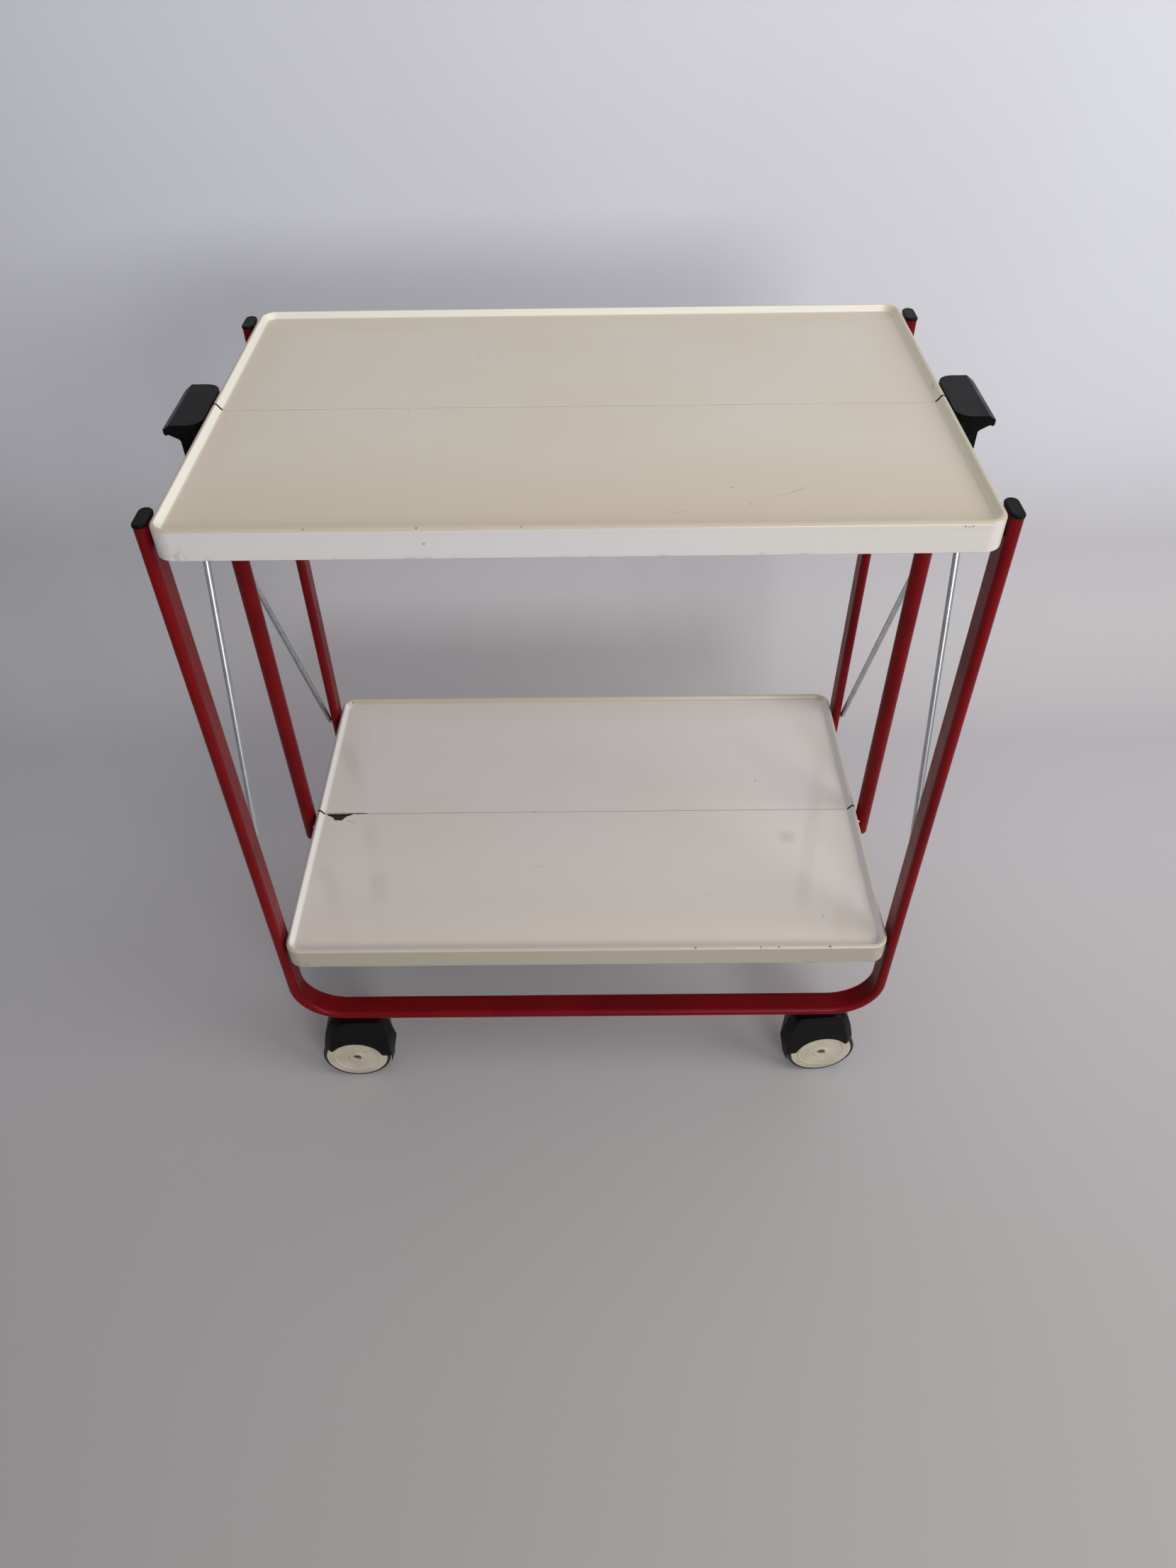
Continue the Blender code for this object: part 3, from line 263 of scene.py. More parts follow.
# how finely round shapes are cut
ROUND = 16
FINE = 32
WHEEL = 96
EDGE_STEPS = 3
DISC_EDGE_STEPS = 4


# shader nodes

def put(socket, value):
    """Links a field, or sets a constant."""
    if isinstance(value, Field):
        socket.id_data.links.new(value.socket, socket)
    elif socket.type == "RGBA":
        socket.default_value = (*value, 1)
    else:
        socket.default_value = value


def sum_of(operation):
    """A method that adds the node for this sum of a field and another value."""
    return lambda self, other: self.calc(operation, self, other)


class Field:
    """A number, point, colour or shader that varies over a surface. Sums on it add the nodes for them."""
    __add__, __sub__, __mul__ = sum_of("ADD"), sum_of("SUBTRACT"), sum_of("MULTIPLY")
    __or__, __and__ = sum_of("MAXIMUM"), sum_of("MINIMUM")

    def __init__(self, socket):
        self.socket = socket

    def __rsub__(self, other):
        return self.calc("SUBTRACT", other, self)

    def __abs__(self):
        return self.calc("ABSOLUTE", self)

    def node(self, kind, inputs=(), output=0, **settings):
        """An output of a new node in the same material."""
        made = self.socket.id_data.nodes.new(kind)
        for key, value in settings.items():
            setattr(made, key, value)
        for key, value in dict(inputs).items():
            put(made.inputs[key], value)
        return Field(made.outputs[output])

    def calc(self, operation, *values):
        return self.node("ShaderNodeMath", enumerate(values), operation=operation)


def new_look(name):
    """A material, the point on the object at rest, in metres, and that point's three coordinates."""
    material = bpy.data.materials.new(name)
    material.use_nodes = True
    nodes = material.node_tree.nodes
    point = Field(nodes.new("ShaderNodeTexCoord").outputs["Object"])
    split = nodes.new("ShaderNodeSeparateXYZ")
    put(split.inputs[0], point)
    return material, point, *map(Field, split.outputs)


def finish_look(material, colour, roughness, height, strength, depth, settings=()):
    """Sets the shader: colour, roughness, a bump with its strength and depth, and any other settings."""
    bump = height.node("ShaderNodeBump", {"Strength": strength, "Distance": depth, "Height": height})
    sockets = material.node_tree.nodes["Principled BSDF"].inputs
    looks = {"Base Color": colour, "Roughness": roughness, "Normal": bump, **dict(settings)}
    for key, value in looks.items():
        put(sockets[key], value)
    return material


def mix(factor, a, b):
    return factor.node("ShaderNodeMix", {"Factor": factor, 6: a, 7: b}, 2, data_type="RGBA")


def coats(colour, *layers):
    """The colour under layers, each a mask and its tint."""
    for mask, tint in layers:
        colour = mix(mask, colour, tint)
    return colour


def ramp(value, start, stop, out_start=0, out_stop=1):
    """A smooth step from one output to the other while the value goes from start to stop."""
    inputs = {"Value": value, "From Min": start, "From Max": stop, "To Min": out_start, "To Max": out_stop}
    return value.node("ShaderNodeMapRange", inputs, interpolation_type="SMOOTHSTEP")


def noise(point, scale, detail=3, roughness=0.5, stretch=None):
    if stretch:
        point = point.node("ShaderNodeMapping", {"Vector": point, "Scale": stretch})
    inputs = {"Vector": point, "Scale": scale, "Detail": detail, "Roughness": roughness}
    return point.node("ShaderNodeTexNoise", inputs, "Fac")


def patches(point, scale, start, stop, detail=4, roughness=0.65):
    """Where a noise rises past a level."""
    return ramp(noise(point, scale, detail, roughness), start, stop)


def specks(point, scale, size, seed):
    """Small round dots: 1 inside them."""
    shifted = point.node("ShaderNodeMapping", {"Vector": point, "Location": (seed, seed / 2, -seed)})
    cells = shifted.node("ShaderNodeTexVoronoi", {"Vector": shifted, "Scale": scale}, "Distance")
    return ramp(cells, size, size * SPECK_CORE_SHARE)


def distance(point, centre):
    return point.node("ShaderNodeVectorMath", {0: point, 1: centre}, "Value", operation="DISTANCE")


def spot(point, centre, radius, soft):
    return ramp(distance(point, centre), radius + soft, max(radius - soft, 0))


def mark(x, y, start, end, width):
    """A thin straight mark between two points on a level surface."""
    whole = Vector(end) - Vector(start)
    along, length = whole.normalized(), whole.length
    dx, dy = x - start[0], y - start[1]
    travel = dx * along.x + dy * along.y
    line = ramp(abs(dx * along.y - dy * along.x), width, width * MARK_CORE_SHARE)
    fade = length * MARK_FADE_SHARE
    return line * (ramp(travel, 0, fade) * ramp(travel, length, length - fade))


def marks(x, y, table):
    found = mark(x, y, *table[0])
    for row in table[1:]:
        found |= mark(x, y, *row)
    return found


# materials: colours, then masks with the share that each one tints

GRIME = (0.15, 0.122, 0.09)
# painted shadow: the brown of the thin line along the fold
FOLD_SHADOW_BROWN = (0.12, 0.082, 0.05)
TRAY_TINTS = {
    "top": {
        "floor": (0.6, 0.545, 0.455),
        "aged": (0.55, 0.462, 0.34),
        "slope": (0.74, 0.705, 0.625),
        # painted shade: the darker tint of the right slope
        "shade": (0.65, 0.595, 0.45),
        "crest": (0.49, 0.415, 0.31),
        "skirt": (0.63, 0.605, 0.6),
        "worn_skirt": (0.585, 0.56, 0.5),
    },
    "bottom": {
        "floor": (0.72, 0.675, 0.645),
        "aged": (0.65, 0.585, 0.52),
        "slope": (0.78, 0.765, 0.76),
        # painted shade: the darker tint of the back slope
        "shade": (0.52, 0.455, 0.375),
        "crest": (0.52, 0.445, 0.365),
        "skirt": (0.415, 0.38, 0.308),
        "worn_skirt": (0.375, 0.345, 0.28),
    },
}
SPILL = (0.46, 0.365, 0.285)
GROOVE = (0.3, 0.24, 0.17)
# painted shadow: the near-black of the pivot bosses between tray and leg
BOSS_SHADE = (0.04, 0.014, 0.013)
SCRATCH = (0.25, 0.195, 0.13)
DOT = (0.075, 0.05, 0.034)
STAIN = (0.46, 0.335, 0.18)
# painted shade: the near-black of the gap between the halves' rims
SLIT_SHADE = (0.014, 0.009, 0.007)
FRINGE = (0.4, 0.215, 0.085)
RUST = (0.11, 0.045, 0.018)
CRACK = (0.2, 0.11, 0.05)
# painted shade: the near-black browns of the chip's hollow
CAVITY_SHADE_TINTS = ((0.007, 0.004, 0.003), (0.042, 0.018, 0.011))
RED_TINTS = ((0.158, 0.0036, 0.0058), (0.12, 0.0025, 0.0042))
RED_CHIP = (0.03, 0.012, 0.01)
RED_DUST = (0.3, 0.16, 0.15)
BLACK_TINTS = ((0.0028, 0.0026, 0.0025), (0.0052, 0.0049, 0.0047))
BLACK_DUST = (0.15, 0.146, 0.14)
BLACK_RUB = (0.12, 0.12, 0.12)
CREAM_TINTS = ((0.52, 0.475, 0.385), (0.44, 0.385, 0.295))
CREAM_DIRT = (0.11, 0.082, 0.055)
ZINC_TINTS = ((0.56, 0.58, 0.62), (0.43, 0.44, 0.455))
ZINC_RUST = (0.08, 0.046, 0.027)
RUBBER_TINTS = ((0.008, 0.008, 0.008), (0.022, 0.021, 0.019))
RUBBER_DUST = (0.1, 0.092, 0.08)
BRASS_TINTS = ((0.24, 0.155, 0.08), (0.075, 0.045, 0.026))
# painted light and shade on the sweep: darker in front, paler behind and up the wall, darker away from a lit
# spot
STAGE_SHADED_NEAR_TINT = (0.252, 0.21, 0.175)
STAGE_LIT_FAR_TINT = (0.49, 0.47, 0.48)
STAGE_LIT_WALL_TINT = (0.69, 0.695, 0.75)
STAGE_CLOUD_TINT = (0.4, 0.395, 0.41)
STAGE_FALLOFF_SHADE = (0.39, 0.39, 0.41)

# where the trays' colours change: in x, in y, in from the outline, or down from the rim
FLOOR_BLEND = (RIM_DROP - 0.0011, RIM_DROP - 0.0002)
CREST_SOFT = 0.0006
# painted shade on the slopes: where the upper tray's right slope and the lower tray's back slope turn darker
SLOPE_SHADE = {"top": (0.285, 0.292), "bottom": (0.184, 0.19)}
SKIRT_INSET = (0.0012, 0.0005)
SKIRT_DROP = (0.001, 0.0026)
SKIRT_DIRT_DROP = (0.0205, 0.0245)
SKIRT_YELLOWING = (0.05, 0.3)
FRONT_YELLOWING = (-0.02, -0.185)
EDGE_YELLOWING = (0.06, 0.009)
CORNER_YELLOWING = (0.035, 0.03)
BOSS_SHADOW_BLEND = (0.0001, 0.0004)
SCUFF_X = -0.288
SCUFF_DROP = 0.0235
SCUFF_SIZE = (0.009, 0.007)
# painted highlight along the upper tray's fold: its middle in y, then where it fades
FOLD_HIGHLIGHT = (0.0009, 0.0007, 0.0003)
# painted shadow line along the fold: where it starts across y, then where it is full
FOLD_SHADOW_LINE = (0.0007, 0.0002)
FOLD_SHADOW_SHARE = {"top": 0.3, "bottom": 0.5}
SLIT_SHADE_SOFT = (0.0003, 0.0001)
# start, end and half width of each scratch on the floors, and of the one on the right rim
TRAY_MARKS = {
    "top": (
        ((0.066, -0.1735), (0.082, -0.1665), 0.00035),
        ((0.15, -0.148), (0.171, -0.135), 0.0005),
        ((0.139, -0.15), (0.152, -0.1475), 0.0003),
        ((-0.12, -0.06), (-0.075, -0.057), 0.00022),
        ((0.02, 0.09), (0.034, 0.096), 0.00022), ((0.2955, 0.019), (0.2972, 0.027), 0.0006),
    ),
    "bottom": (
        ((0.12, -0.12), (0.131, -0.124), 0.0003),
        ((-0.06, -0.08), (-0.04, -0.083), 0.00025),
    ),
}
# middle, depth below the rim, radius and strength of each dark speck
TRAY_DOTS = {
    "top": (
        (-0.2893, -0.0151, 0.0045, 0.0012, 0.7), (0.2693, -0.1985, 0.003, 0.001, 0.5),
        (0.2721, -0.1985, 0.0035, 0.0008, 0.5), (0.2745, -0.1985, 0.0028, 0.001, 0.5),
        (-0.14, -0.0043, 0.0055, 0.0009, 0.5), (-0.089, 0.099, 0.0055, 0.002, 0.12),
        (0.113, -0.136, 0.0055, 0.0009, 0.5), (0.125, -0.16, 0.0055, 0.0008, 0.5),
        (-0.112, -0.1965, 0.0003, 0.0009, 0.6), (-0.191, -0.1965, 0.0003, 0.0009, 0.5),
        (-0.039, -0.1965, 0.0003, 0.0008, 0.5), (-0.108, -0.198, 0.012, 0.001, 0.5),
    ),
    "bottom": (
        (-0.2907, 0.1919, 0.002, 0.0015, 0.8), (0.2898, 0.188, 0.002, 0.0015, 0.7),
        (0.196, 0.047, 0.0055, 0.001, 0.7), (0.243, -0.154, 0.0055, 0.001, 0.5),
        (0.109, -0.1965, 0.0003, 0.0012, 0.7), (0.174, -0.1965, 0.0003, 0.001, 0.7),
        (0.192, -0.1965, 0.0003, 0.0011, 0.6), (0.243, -0.1965, 0.0003, 0.0013, 0.8),
        (-0.058, 0.001, 0.0055, 0.0009, 0.7),
    ),
}
CHIP_SPOT = ((-0.277, -0.006, FLOOR["bottom"]), 0.0185, 0.001)
CHIP_TOP_BLEND = (RIM_DROP + 0.0003, RIM_DROP + 0.0009)
CHIP_FOOT_BLEND = (RIM_DROP + CHIP_DEPTH + 0.002, RIM_DROP + CHIP_DEPTH + 0.001)
CHIP_CRACK = ((-0.269, -0.0105), (-0.258, -0.015), 0.0007)
CHIP_FRINGE = ((-0.297, 0.001), (-0.248, 0.001), 0.0015)
RUST_STREAK = ((-0.27, -0.0001), (-0.244, 0.0003), 0.0013)
FLOOR_STAIN = ((0.221, -0.042, FLOOR["bottom"]), 0.0085, 0.006)
# start, end and half width of each old spill on the lower floor
FLOOR_STREAKS = (
    ((0.283, 0.112), (0.215, -0.175), 0.011), ((0.29, -0.07), (0.252, -0.19), 0.013),
    ((-0.295, 0.13), (-0.245, 0.003), 0.012), ((-0.246, 0.01), (-0.201, -0.185), 0.013),
    ((-0.285, -0.07), (-0.24, -0.19), 0.011),
)


def chip_looks(point, x, y, drop, colour):
    """The broken place's colours: a tan fringe, a rust streak along the fold, a crack, and a dark cavity of
    painted shade.
    """
    fringe = mark(x, y, *CHIP_FRINGE) * patches(point, 260, 0.28, 0.52)
    streak = mark(x, y, *RUST_STREAK) * patches(point, 120, 0.25, 0.5)
    crack = mark(x, y, *CHIP_CRACK) * patches(point, 300, 0.3, 0.5)
    # painted shade: the chip's hollow below the floor, darkened as a deep hole
    cavity = ramp(drop, *CHIP_TOP_BLEND) * ramp(drop, *CHIP_FOOT_BLEND) * spot(point, *CHIP_SPOT)
    colour = coats(colour, (fringe * 0.75, FRINGE), (streak * 0.9, RUST), (crack * 0.6, CRACK))
    return mix(cavity, colour, mix(noise(point, 420), *CAVITY_SHADE_TINTS)), crack | cavity


def inset(x, y):
    """How far inside the tray's rounded outline a point lies."""
    past_x = abs(x) - (HALF_WIDTH - TRAY_CORNER)
    past_y = abs(y) - (HALF_DEPTH - TRAY_CORNER)
    corner = x.node("ShaderNodeCombineXYZ", {0: past_x | 0, 1: past_y | 0})
    reach = distance(corner, (0, 0, 0))
    return TRAY_CORNER - (reach + ((past_x | past_y) & 0))


def fold_looks(y, drop, deep, tray, colour):
    """The fold: a dark slit of painted shade across the rims, a thin line of painted shadow over the floor,
    and on the upper tray a painted highlight beside it.
    """
    if tray == "top":
        # painted highlight: a pale line on the back half's edge at the fold
        middle, *blend = FOLD_HIGHLIGHT
        colour = mix(ramp(abs(y - middle), *blend) * 0.45, colour, TRAY_TINTS[tray]["slope"])
    # painted shadow: a thin brown line on the front half's edge at the fold
    colour = mix(ramp(abs(y + FOLD_GAP), *FOLD_SHADOW_LINE) * FOLD_SHADOW_SHARE[tray], colour, FOLD_SHADOW_BROWN)
    # painted shade: the rims' end faces at the fold darkened as the shaded gap between the halves
    slit = ramp(abs(y) - (FOLD_GAP + RIM_SET_BACK), *SLIT_SHADE_SOFT)
    slit *= ramp(drop, RIM_DROP - RIM_CUT_LIFT / 2, RIM_DROP - RIM_CUT_LIFT)
    slit *= ramp(deep, RIM_ROUND + RIM_LAND + RIM_SLOPE, RIM_ROUND + RIM_SLOPE)
    return mix(slit, colour, SLIT_SHADE)


def tray_base(point, x, y, drop, deep, tray):
    """The clean colours of floor, slope, crest and skirt, with painted shade on one slope, and where the
    floor and the skirt are.
    """
    tints = TRAY_TINTS[tray]
    floor = ramp(drop, *FLOOR_BLEND)
    crest = ramp(deep, RIM_ROUND + RIM_LAND + CREST_SOFT, RIM_ROUND)
    # painted shade on the upper tray's right slope and the lower tray's back slope
    shade = ramp(x if tray == "top" else y, *SLOPE_SHADE[tray])
    skirt = ramp(deep, *SKIRT_INSET) * ramp(drop, *SKIRT_DROP)
    aged = ramp(y, *FRONT_YELLOWING) * 0.8 | ramp(deep, *EDGE_YELLOWING) * 0.5
    aged |= spot(point, (HALF_WIDTH, HALF_DEPTH, RIM[tray]), *CORNER_YELLOWING)
    aged |= patches(point, 5, 0.35, 0.75, 2, 0.4) * 0.35
    colour = mix(aged, tints["floor"], tints["aged"])
    if tray == "bottom":
        streaks = marks(x, y, FLOOR_STREAKS) * patches(point, 16, 0.2, 0.8, 2, 0.5)
        colour = mix(streaks * 0.24, colour, SPILL)
    colour = mix(ramp(floor, 1, 0.2), colour, mix(shade, tints["slope"], tints["shade"]))
    colour = mix(crest, colour, tints["crest"])
    yellowed = ramp(x, *SKIRT_YELLOWING) * 0.6
    return mix(skirt, colour, mix(yellowed, tints["skirt"], tints["worn_skirt"])), floor, skirt


def tray_plastic(name, tray):
    """Old moulded plastic: yellowed, with light wear, scratches, specks and stains, with painted shade on a
    slope, the bosses, the fold and the chip, and a painted highlight along the upper fold.
    """
    material, point, x, y, z = new_look(name)
    rim, drop, deep = RIM[tray], RIM[tray] - z, inset(x, y)
    colour, floor, skirt = tray_base(point, x, y, drop, deep, tray)
    groove = ramp(floor, 0.1, 0.5) * ramp(floor, 0.98, 0.6)
    colour = mix(groove * 0.18, colour, GROOVE)
    edge_dirt = skirt * ramp(drop, *SKIRT_DIRT_DROP) * patches(point, 60, 0.5, 0.7)
    scuffed = spot(point, (SCUFF_X, -HALF_DEPTH, rim - SCUFF_DROP), *SCUFF_SIZE)
    scuffs = scuffed * patches(point, 260, 0.5, 0.6)
    worn = skirt * specks(point, 60, 0.07, 5.2) * patches(point, 25, 0.52, 0.6)
    dots = specks(point, 90, 0.05, 3.1) * patches(point, 7, 0.62, 0.66)
    marked = marks(x, y, TRAY_MARKS[tray]) * (1 - skirt)
    dirt = [(edge_dirt * 0.3, GRIME), (scuffs * 0.4, GRIME), (worn * 0.3, GRIME), (dots * 0.2, GRIME)]
    # painted shadow: the bosses standing out past the tray's side, darkened as the shadow between tray and
    # leg
    boss = ramp(abs(x) - HALF_WIDTH, *BOSS_SHADOW_BLEND)
    colour = coats(colour, *dirt, (boss, BOSS_SHADE), (marked * 0.6, SCRATCH))
    for dot_x, dot_y, depth, radius, share in TRAY_DOTS[tray]:
        colour = mix(spot(point, (dot_x, dot_y, rim - depth), radius, radius / 3) * share, colour, DOT)
    colour = fold_looks(y, drop, deep, tray, colour)
    if tray == "bottom":
        colour = mix(spot(point, *FLOOR_STAIN) * 0.3, colour, STAIN)
        colour, broken = chip_looks(point, x, y, drop, colour)
        marked |= broken

    rough = ramp(noise(point, 16, 2, 0.4), 0.3, 0.75, 0.285, 0.345) + (worn | edge_dirt | marked) * 0.25
    height = noise(point, 9, 1, 0.3) + noise(point, 60, 1) * 0.02 - marked * 0.5
    return finish_look(material, colour, rough, height, 0.1, 0.001, {"IOR": 1.49})


def red_paint():
    """Glossy enamel with a fine peel, small chips and dust."""
    material, point, *_ = new_look("red_paint_worn")
    chips = specks(point, 95, 0.1, 1.9) * patches(point, 11, 0.55, 0.66)
    dust = specks(point, 300, 0.11, 4.2) * patches(point, 25, 0.5, 0.62)
    paint = mix(patches(point, 14, 0.35, 0.7, 4, 0.6), *RED_TINTS)
    colour = coats(paint, (chips * 0.8, RED_CHIP), (dust * 0.12, RED_DUST))
    rough = ramp(noise(point, 40, 4, 0.6), 0.3, 0.7, 0.285, 0.36)
    height = noise(point, 900, 2) - chips * 1.5
    settings = {"IOR": 1.5, "Specular IOR Level": 0.1}
    return finish_look(material, colour, rough, height, 0.1, 0.0003, settings)


def black_plastic():
    """Satin moulded plastic with rubbed edges and a little dust."""
    material, point, *_ = new_look("black_plastic_worn")
    cloud = noise(point, 35, 4, 0.6)
    dust = specks(point, 520, 0.12, 2.4) * patches(point, 45, 0.48, 0.62)
    rub = ramp(noise(point, 120, 5, 0.75, (1, 3, 1)), 0.6, 0.72)
    clean = mix(ramp(cloud, 0.4, 0.72), *BLACK_TINTS)
    colour = coats(clean, (dust * 0.1, BLACK_DUST), (rub * 0.06, BLACK_RUB))
    rough = ramp(cloud, 0.3, 0.7, 0.32, 0.45)
    settings = {"IOR": 1.46, "Specular IOR Level": 0.09}
    return finish_look(material, colour, rough, noise(point, 1400, 2), 0.12, 0.0002, settings)


def cream_plastic():
    """The wheels' hub discs, yellowed and dirty, and darker towards the floor."""
    material, point, _, _, z = new_look("cream_plastic_worn")
    cloud = noise(point, 45, 4, 0.6)
    dirt = specks(point, 260, 0.12, 5.4) * patches(point, 40, 0.45, 0.6)
    # darker towards the floor, in the grime colour
    smears, darker_low = patches(point, 80, 0.58, 0.74, 5, 0.75) * 0.3, ramp(z, 0.02, 0.004) * 0.2
    clean = mix(ramp(cloud, 0.35, 0.7), *CREAM_TINTS)
    colour = coats(clean, (dirt * 0.45, CREAM_DIRT), (smears, GRIME), (darker_low, GRIME))
    rough = ramp(cloud, 0.3, 0.7, 0.34, 0.48)
    return finish_look(material, colour, rough, cloud, 0.08, 0.0004, {"IOR": 1.47})


def zinc_steel():
    """Plated rod and rivets, dulled and flecked with rust."""
    material, point, *_ = new_look("zinc_steel_worn")
    cloud = noise(point, 60, 5, 0.7)
    fine = noise(point, 500, 4, 0.7)
    rust = ramp(fine, 0.58, 0.68) * patches(point, 90, 0.6, 0.7, 3, 0.6)
    rust |= specks(point, 200, 0.06, 6.1) * 0.5
    colour = mix(ramp(cloud, 0.35, 0.7), *ZINC_TINTS)
    colour = mix(rust * 0.75, colour, ZINC_RUST)
    rough = ramp(cloud, 0.3, 0.7, 0.285, 0.35) + rust * 0.4
    settings = {"Metallic": 1 - rust * 0.85}
    return finish_look(material, colour, rough, fine * 0.4 + rust, 0.05, 0.0001, settings)


def black_rubber():
    """The tyres, dull and dusty."""
    material, point, *_ = new_look("black_rubber_worn")
    cloud = noise(point, 70, 5, 0.7)
    dust = patches(point, 240, 0.55, 0.72, 4, 0.7)
    colour = mix(dust * 0.25, mix(ramp(cloud, 0.35, 0.7), *RUBBER_TINTS), RUBBER_DUST)
    return finish_look(material, colour, ramp(cloud, 0.3, 0.7, 0.55, 0.75), dust, 0.15, 0.0002)


def old_brass():
    """The axles' ends, tarnished almost brown."""
    material, point, *_ = new_look("old_brass")
    cloud = noise(point, 300, 4, 0.7)
    colour = mix(ramp(cloud, 0.4, 0.6), *BRASS_TINTS)
    rough = ramp(cloud, 0.3, 0.7, 0.35, 0.6)
    return finish_look(material, colour, rough, cloud, 0.2, 0.0002, {"Metallic": 0.9})


def stage_paper():
    """The pale seamless sweep, with painted light and shade: warm grey and darker in front, paler behind and
    bluish up the wall, darker away from a lit spot; clear from behind.
    """
    material, point, _, y, z = new_look("stage_paper")
    # painted light and shade: the floor darker in front and paler behind, the wall paler and bluish
    floor = mix(ramp(y, *STAGE_FAR_Y), STAGE_SHADED_NEAR_TINT, STAGE_LIT_FAR_TINT)
    wall, cloud = ramp(z, *STAGE_WALL_Z), patches(point, 1.1, 0.3, 0.7, 3, 0.5) * 0.12
    # painted shade: the sheet darker away from a lit spot on the wall
    edge = ramp(distance(point, STAGE_LIT_SPOT), *STAGE_FALLOFF_REACH, 0, 0.5)
    colour = coats(floor, (wall, STAGE_LIT_WALL_TINT), (cloud, STAGE_CLOUD_TINT), (edge, STAGE_FALLOFF_SHADE))
    finish_look(material, colour, 0.62, noise(point, 60, 3, 0.6), 0.03, 0.0006)
    back = point.node("ShaderNodeNewGeometry", (), "Backfacing")
    unseen = back * point.node("ShaderNodeLightPath", (), "Is Camera Ray")
    paper = Field(material.node_tree.nodes["Principled BSDF"].outputs[0])
    clear = point.node("ShaderNodeBsdfTransparent")
    seen = point.node("ShaderNodeMixShader", {0: unseen, 1: paper, 2: clear})
    put(material.node_tree.nodes["Material Output"].inputs["Surface"], seen)
    return material


LOOKS = {
    "ivory_plastic": tray_plastic("ivory_plastic_aged", "top"),
    "white_plastic": tray_plastic("white_plastic_aged", "bottom"),
    "red_paint": red_paint(),
    "black_plastic": black_plastic(),
    "cream_plastic": cream_plastic(),
    "zinc_steel": zinc_steel(),
    "black_rubber": black_rubber(),
    "brass": old_brass(),
}


# mesh building

def mesh_from(bm):
    bmesh.ops.recalc_face_normals(bm, faces=bm.faces)
    mesh = bpy.data.meshes.new("fine")
    bm.to_mesh(mesh)
    bm.free()
    return mesh


def held(data, name="held"):
    """A mesh, lamp or camera as an object in the scene."""
    obj = bpy.data.objects.new(name, data)
    bpy.context.scene.collection.objects.link(obj)
    return obj


def baked(mesh, *changes):
    """The mesh after modifiers, each a type with its settings. A mesh among these is another body."""
    bodies = [held(mesh)]
    for kind, settings in changes:
        modifier = bodies[0].modifiers.new(kind, kind)
        for key, value in settings.items():
            if isinstance(value, bpy.types.Mesh):
                bodies.append(held(value))
                value = bodies[-1]
            setattr(modifier, key, value)
    graph = bpy.context.evaluated_depsgraph_get()
    result = bpy.data.meshes.new_from_object(bodies[0].evaluated_get(graph), depsgraph=graph)
    for body in bodies:
        bpy.data.objects.remove(body, do_unlink=True)
    return result


def cut(mesh, solver="EXACT"):
    return "BOOLEAN", {"operation": "DIFFERENCE", "solver": solver, "object": mesh}


def joined(mesh):
    return "BOOLEAN", {"operation": "UNION", "solver": "EXACT", "object": mesh}


def shared(mesh):
    return "BOOLEAN", {"operation": "INTERSECT", "solver": "EXACT", "object": mesh}


def eased(width, degrees):
    angle = math.radians(degrees)
    return "BEVEL", {"width": width, "segments": EDGE_STEPS, "limit_method": "ANGLE", "angle_limit": angle}


def loft(rings, closed=False):
    """A skin through rings of equally many points. Its two ends are filled, or joined when closed."""
    bm = bmesh.new()
    loops = [[bm.verts.new(point) for point in ring] for ring in rings]
    pairs = list(zip(loops, loops[1:]))
    if closed:
        pairs.append((loops[-1], loops[0]))
    else:
        bm.faces.new(loops[0])
        bm.faces.new(loops[-1])
    for lower, upper in pairs:
        for i in range(len(lower)):
            bm.faces.new((lower[i - 1], lower[i], upper[i], upper[i - 1]))
    return mesh_from(bm)


def together(meshes):
    """Separate closed shapes as one mesh."""
    bm = bmesh.new()
    for mesh in meshes:
        bm.from_mesh(mesh)
    return mesh_from(bm)


def moved(mesh, offset):
    mesh.transform(Matrix.Translation(offset))
    return mesh


def arc(centre, radius, start_degrees, end_degrees, steps):
    found = []
    for i in range(steps + 1):
        angle = math.radians(start_degrees + (end_degrees - start_degrees) * i / steps)
        found.append((centre[0] + radius * math.cos(angle), centre[1] + radius * math.sin(angle)))
    return found


def corner_arc(before, corner, after, radius, steps):
    """Points along the arc that rounds a corner."""
    back, ahead = (before - corner).normalized(), (after - corner).normalized()
    half = back.angle(ahead) / 2
    centre = corner + (back + ahead).normalized() * radius / math.sin(half)
    side = corner + back * radius / math.tan(half) - centre
    turns = [(math.pi - 2 * half) * i / steps for i in range(steps + 1)]
    return [centre + side * math.cos(turn) - back * radius * math.sin(turn) for turn in turns]


def rounded(corners, steps=ROUND):
    """The closed outline through corners given as x, y and radius, each corner made an arc."""
    places = [Vector(corner[:2]) for corner in corners]
    outline = []
    for i, (*_, radius) in enumerate(corners):
        after = places[(i + 1) % len(places)]
        bend = corner_arc(places[i - 1], places[i], after, radius, steps) if radius else [places[i]]
        outline += [point[:] for point in bend]
    return outline


def rectangle(half_x, half_y, radius, steps=ROUND):
    corners = ((half_x, half_y), (-half_x, half_y), (-half_x, -half_y), (half_x, -half_y))
    return rounded([(x, y, radius) for x, y in corners], steps)


def extruded(outline, depth, plane="XY"):
    """A flat outline made thick, half its depth to each side of its plane."""
    order = {"XY": (0, 1, 2), "XZ": (0, 2, 1), "YZ": (2, 0, 1)}[plane]
    rings = [[(a, b, side * depth / 2) for a, b in outline] for side in (-1, 1)]
    return loft([[[point[i] for i in order] for point in ring] for ring in rings])


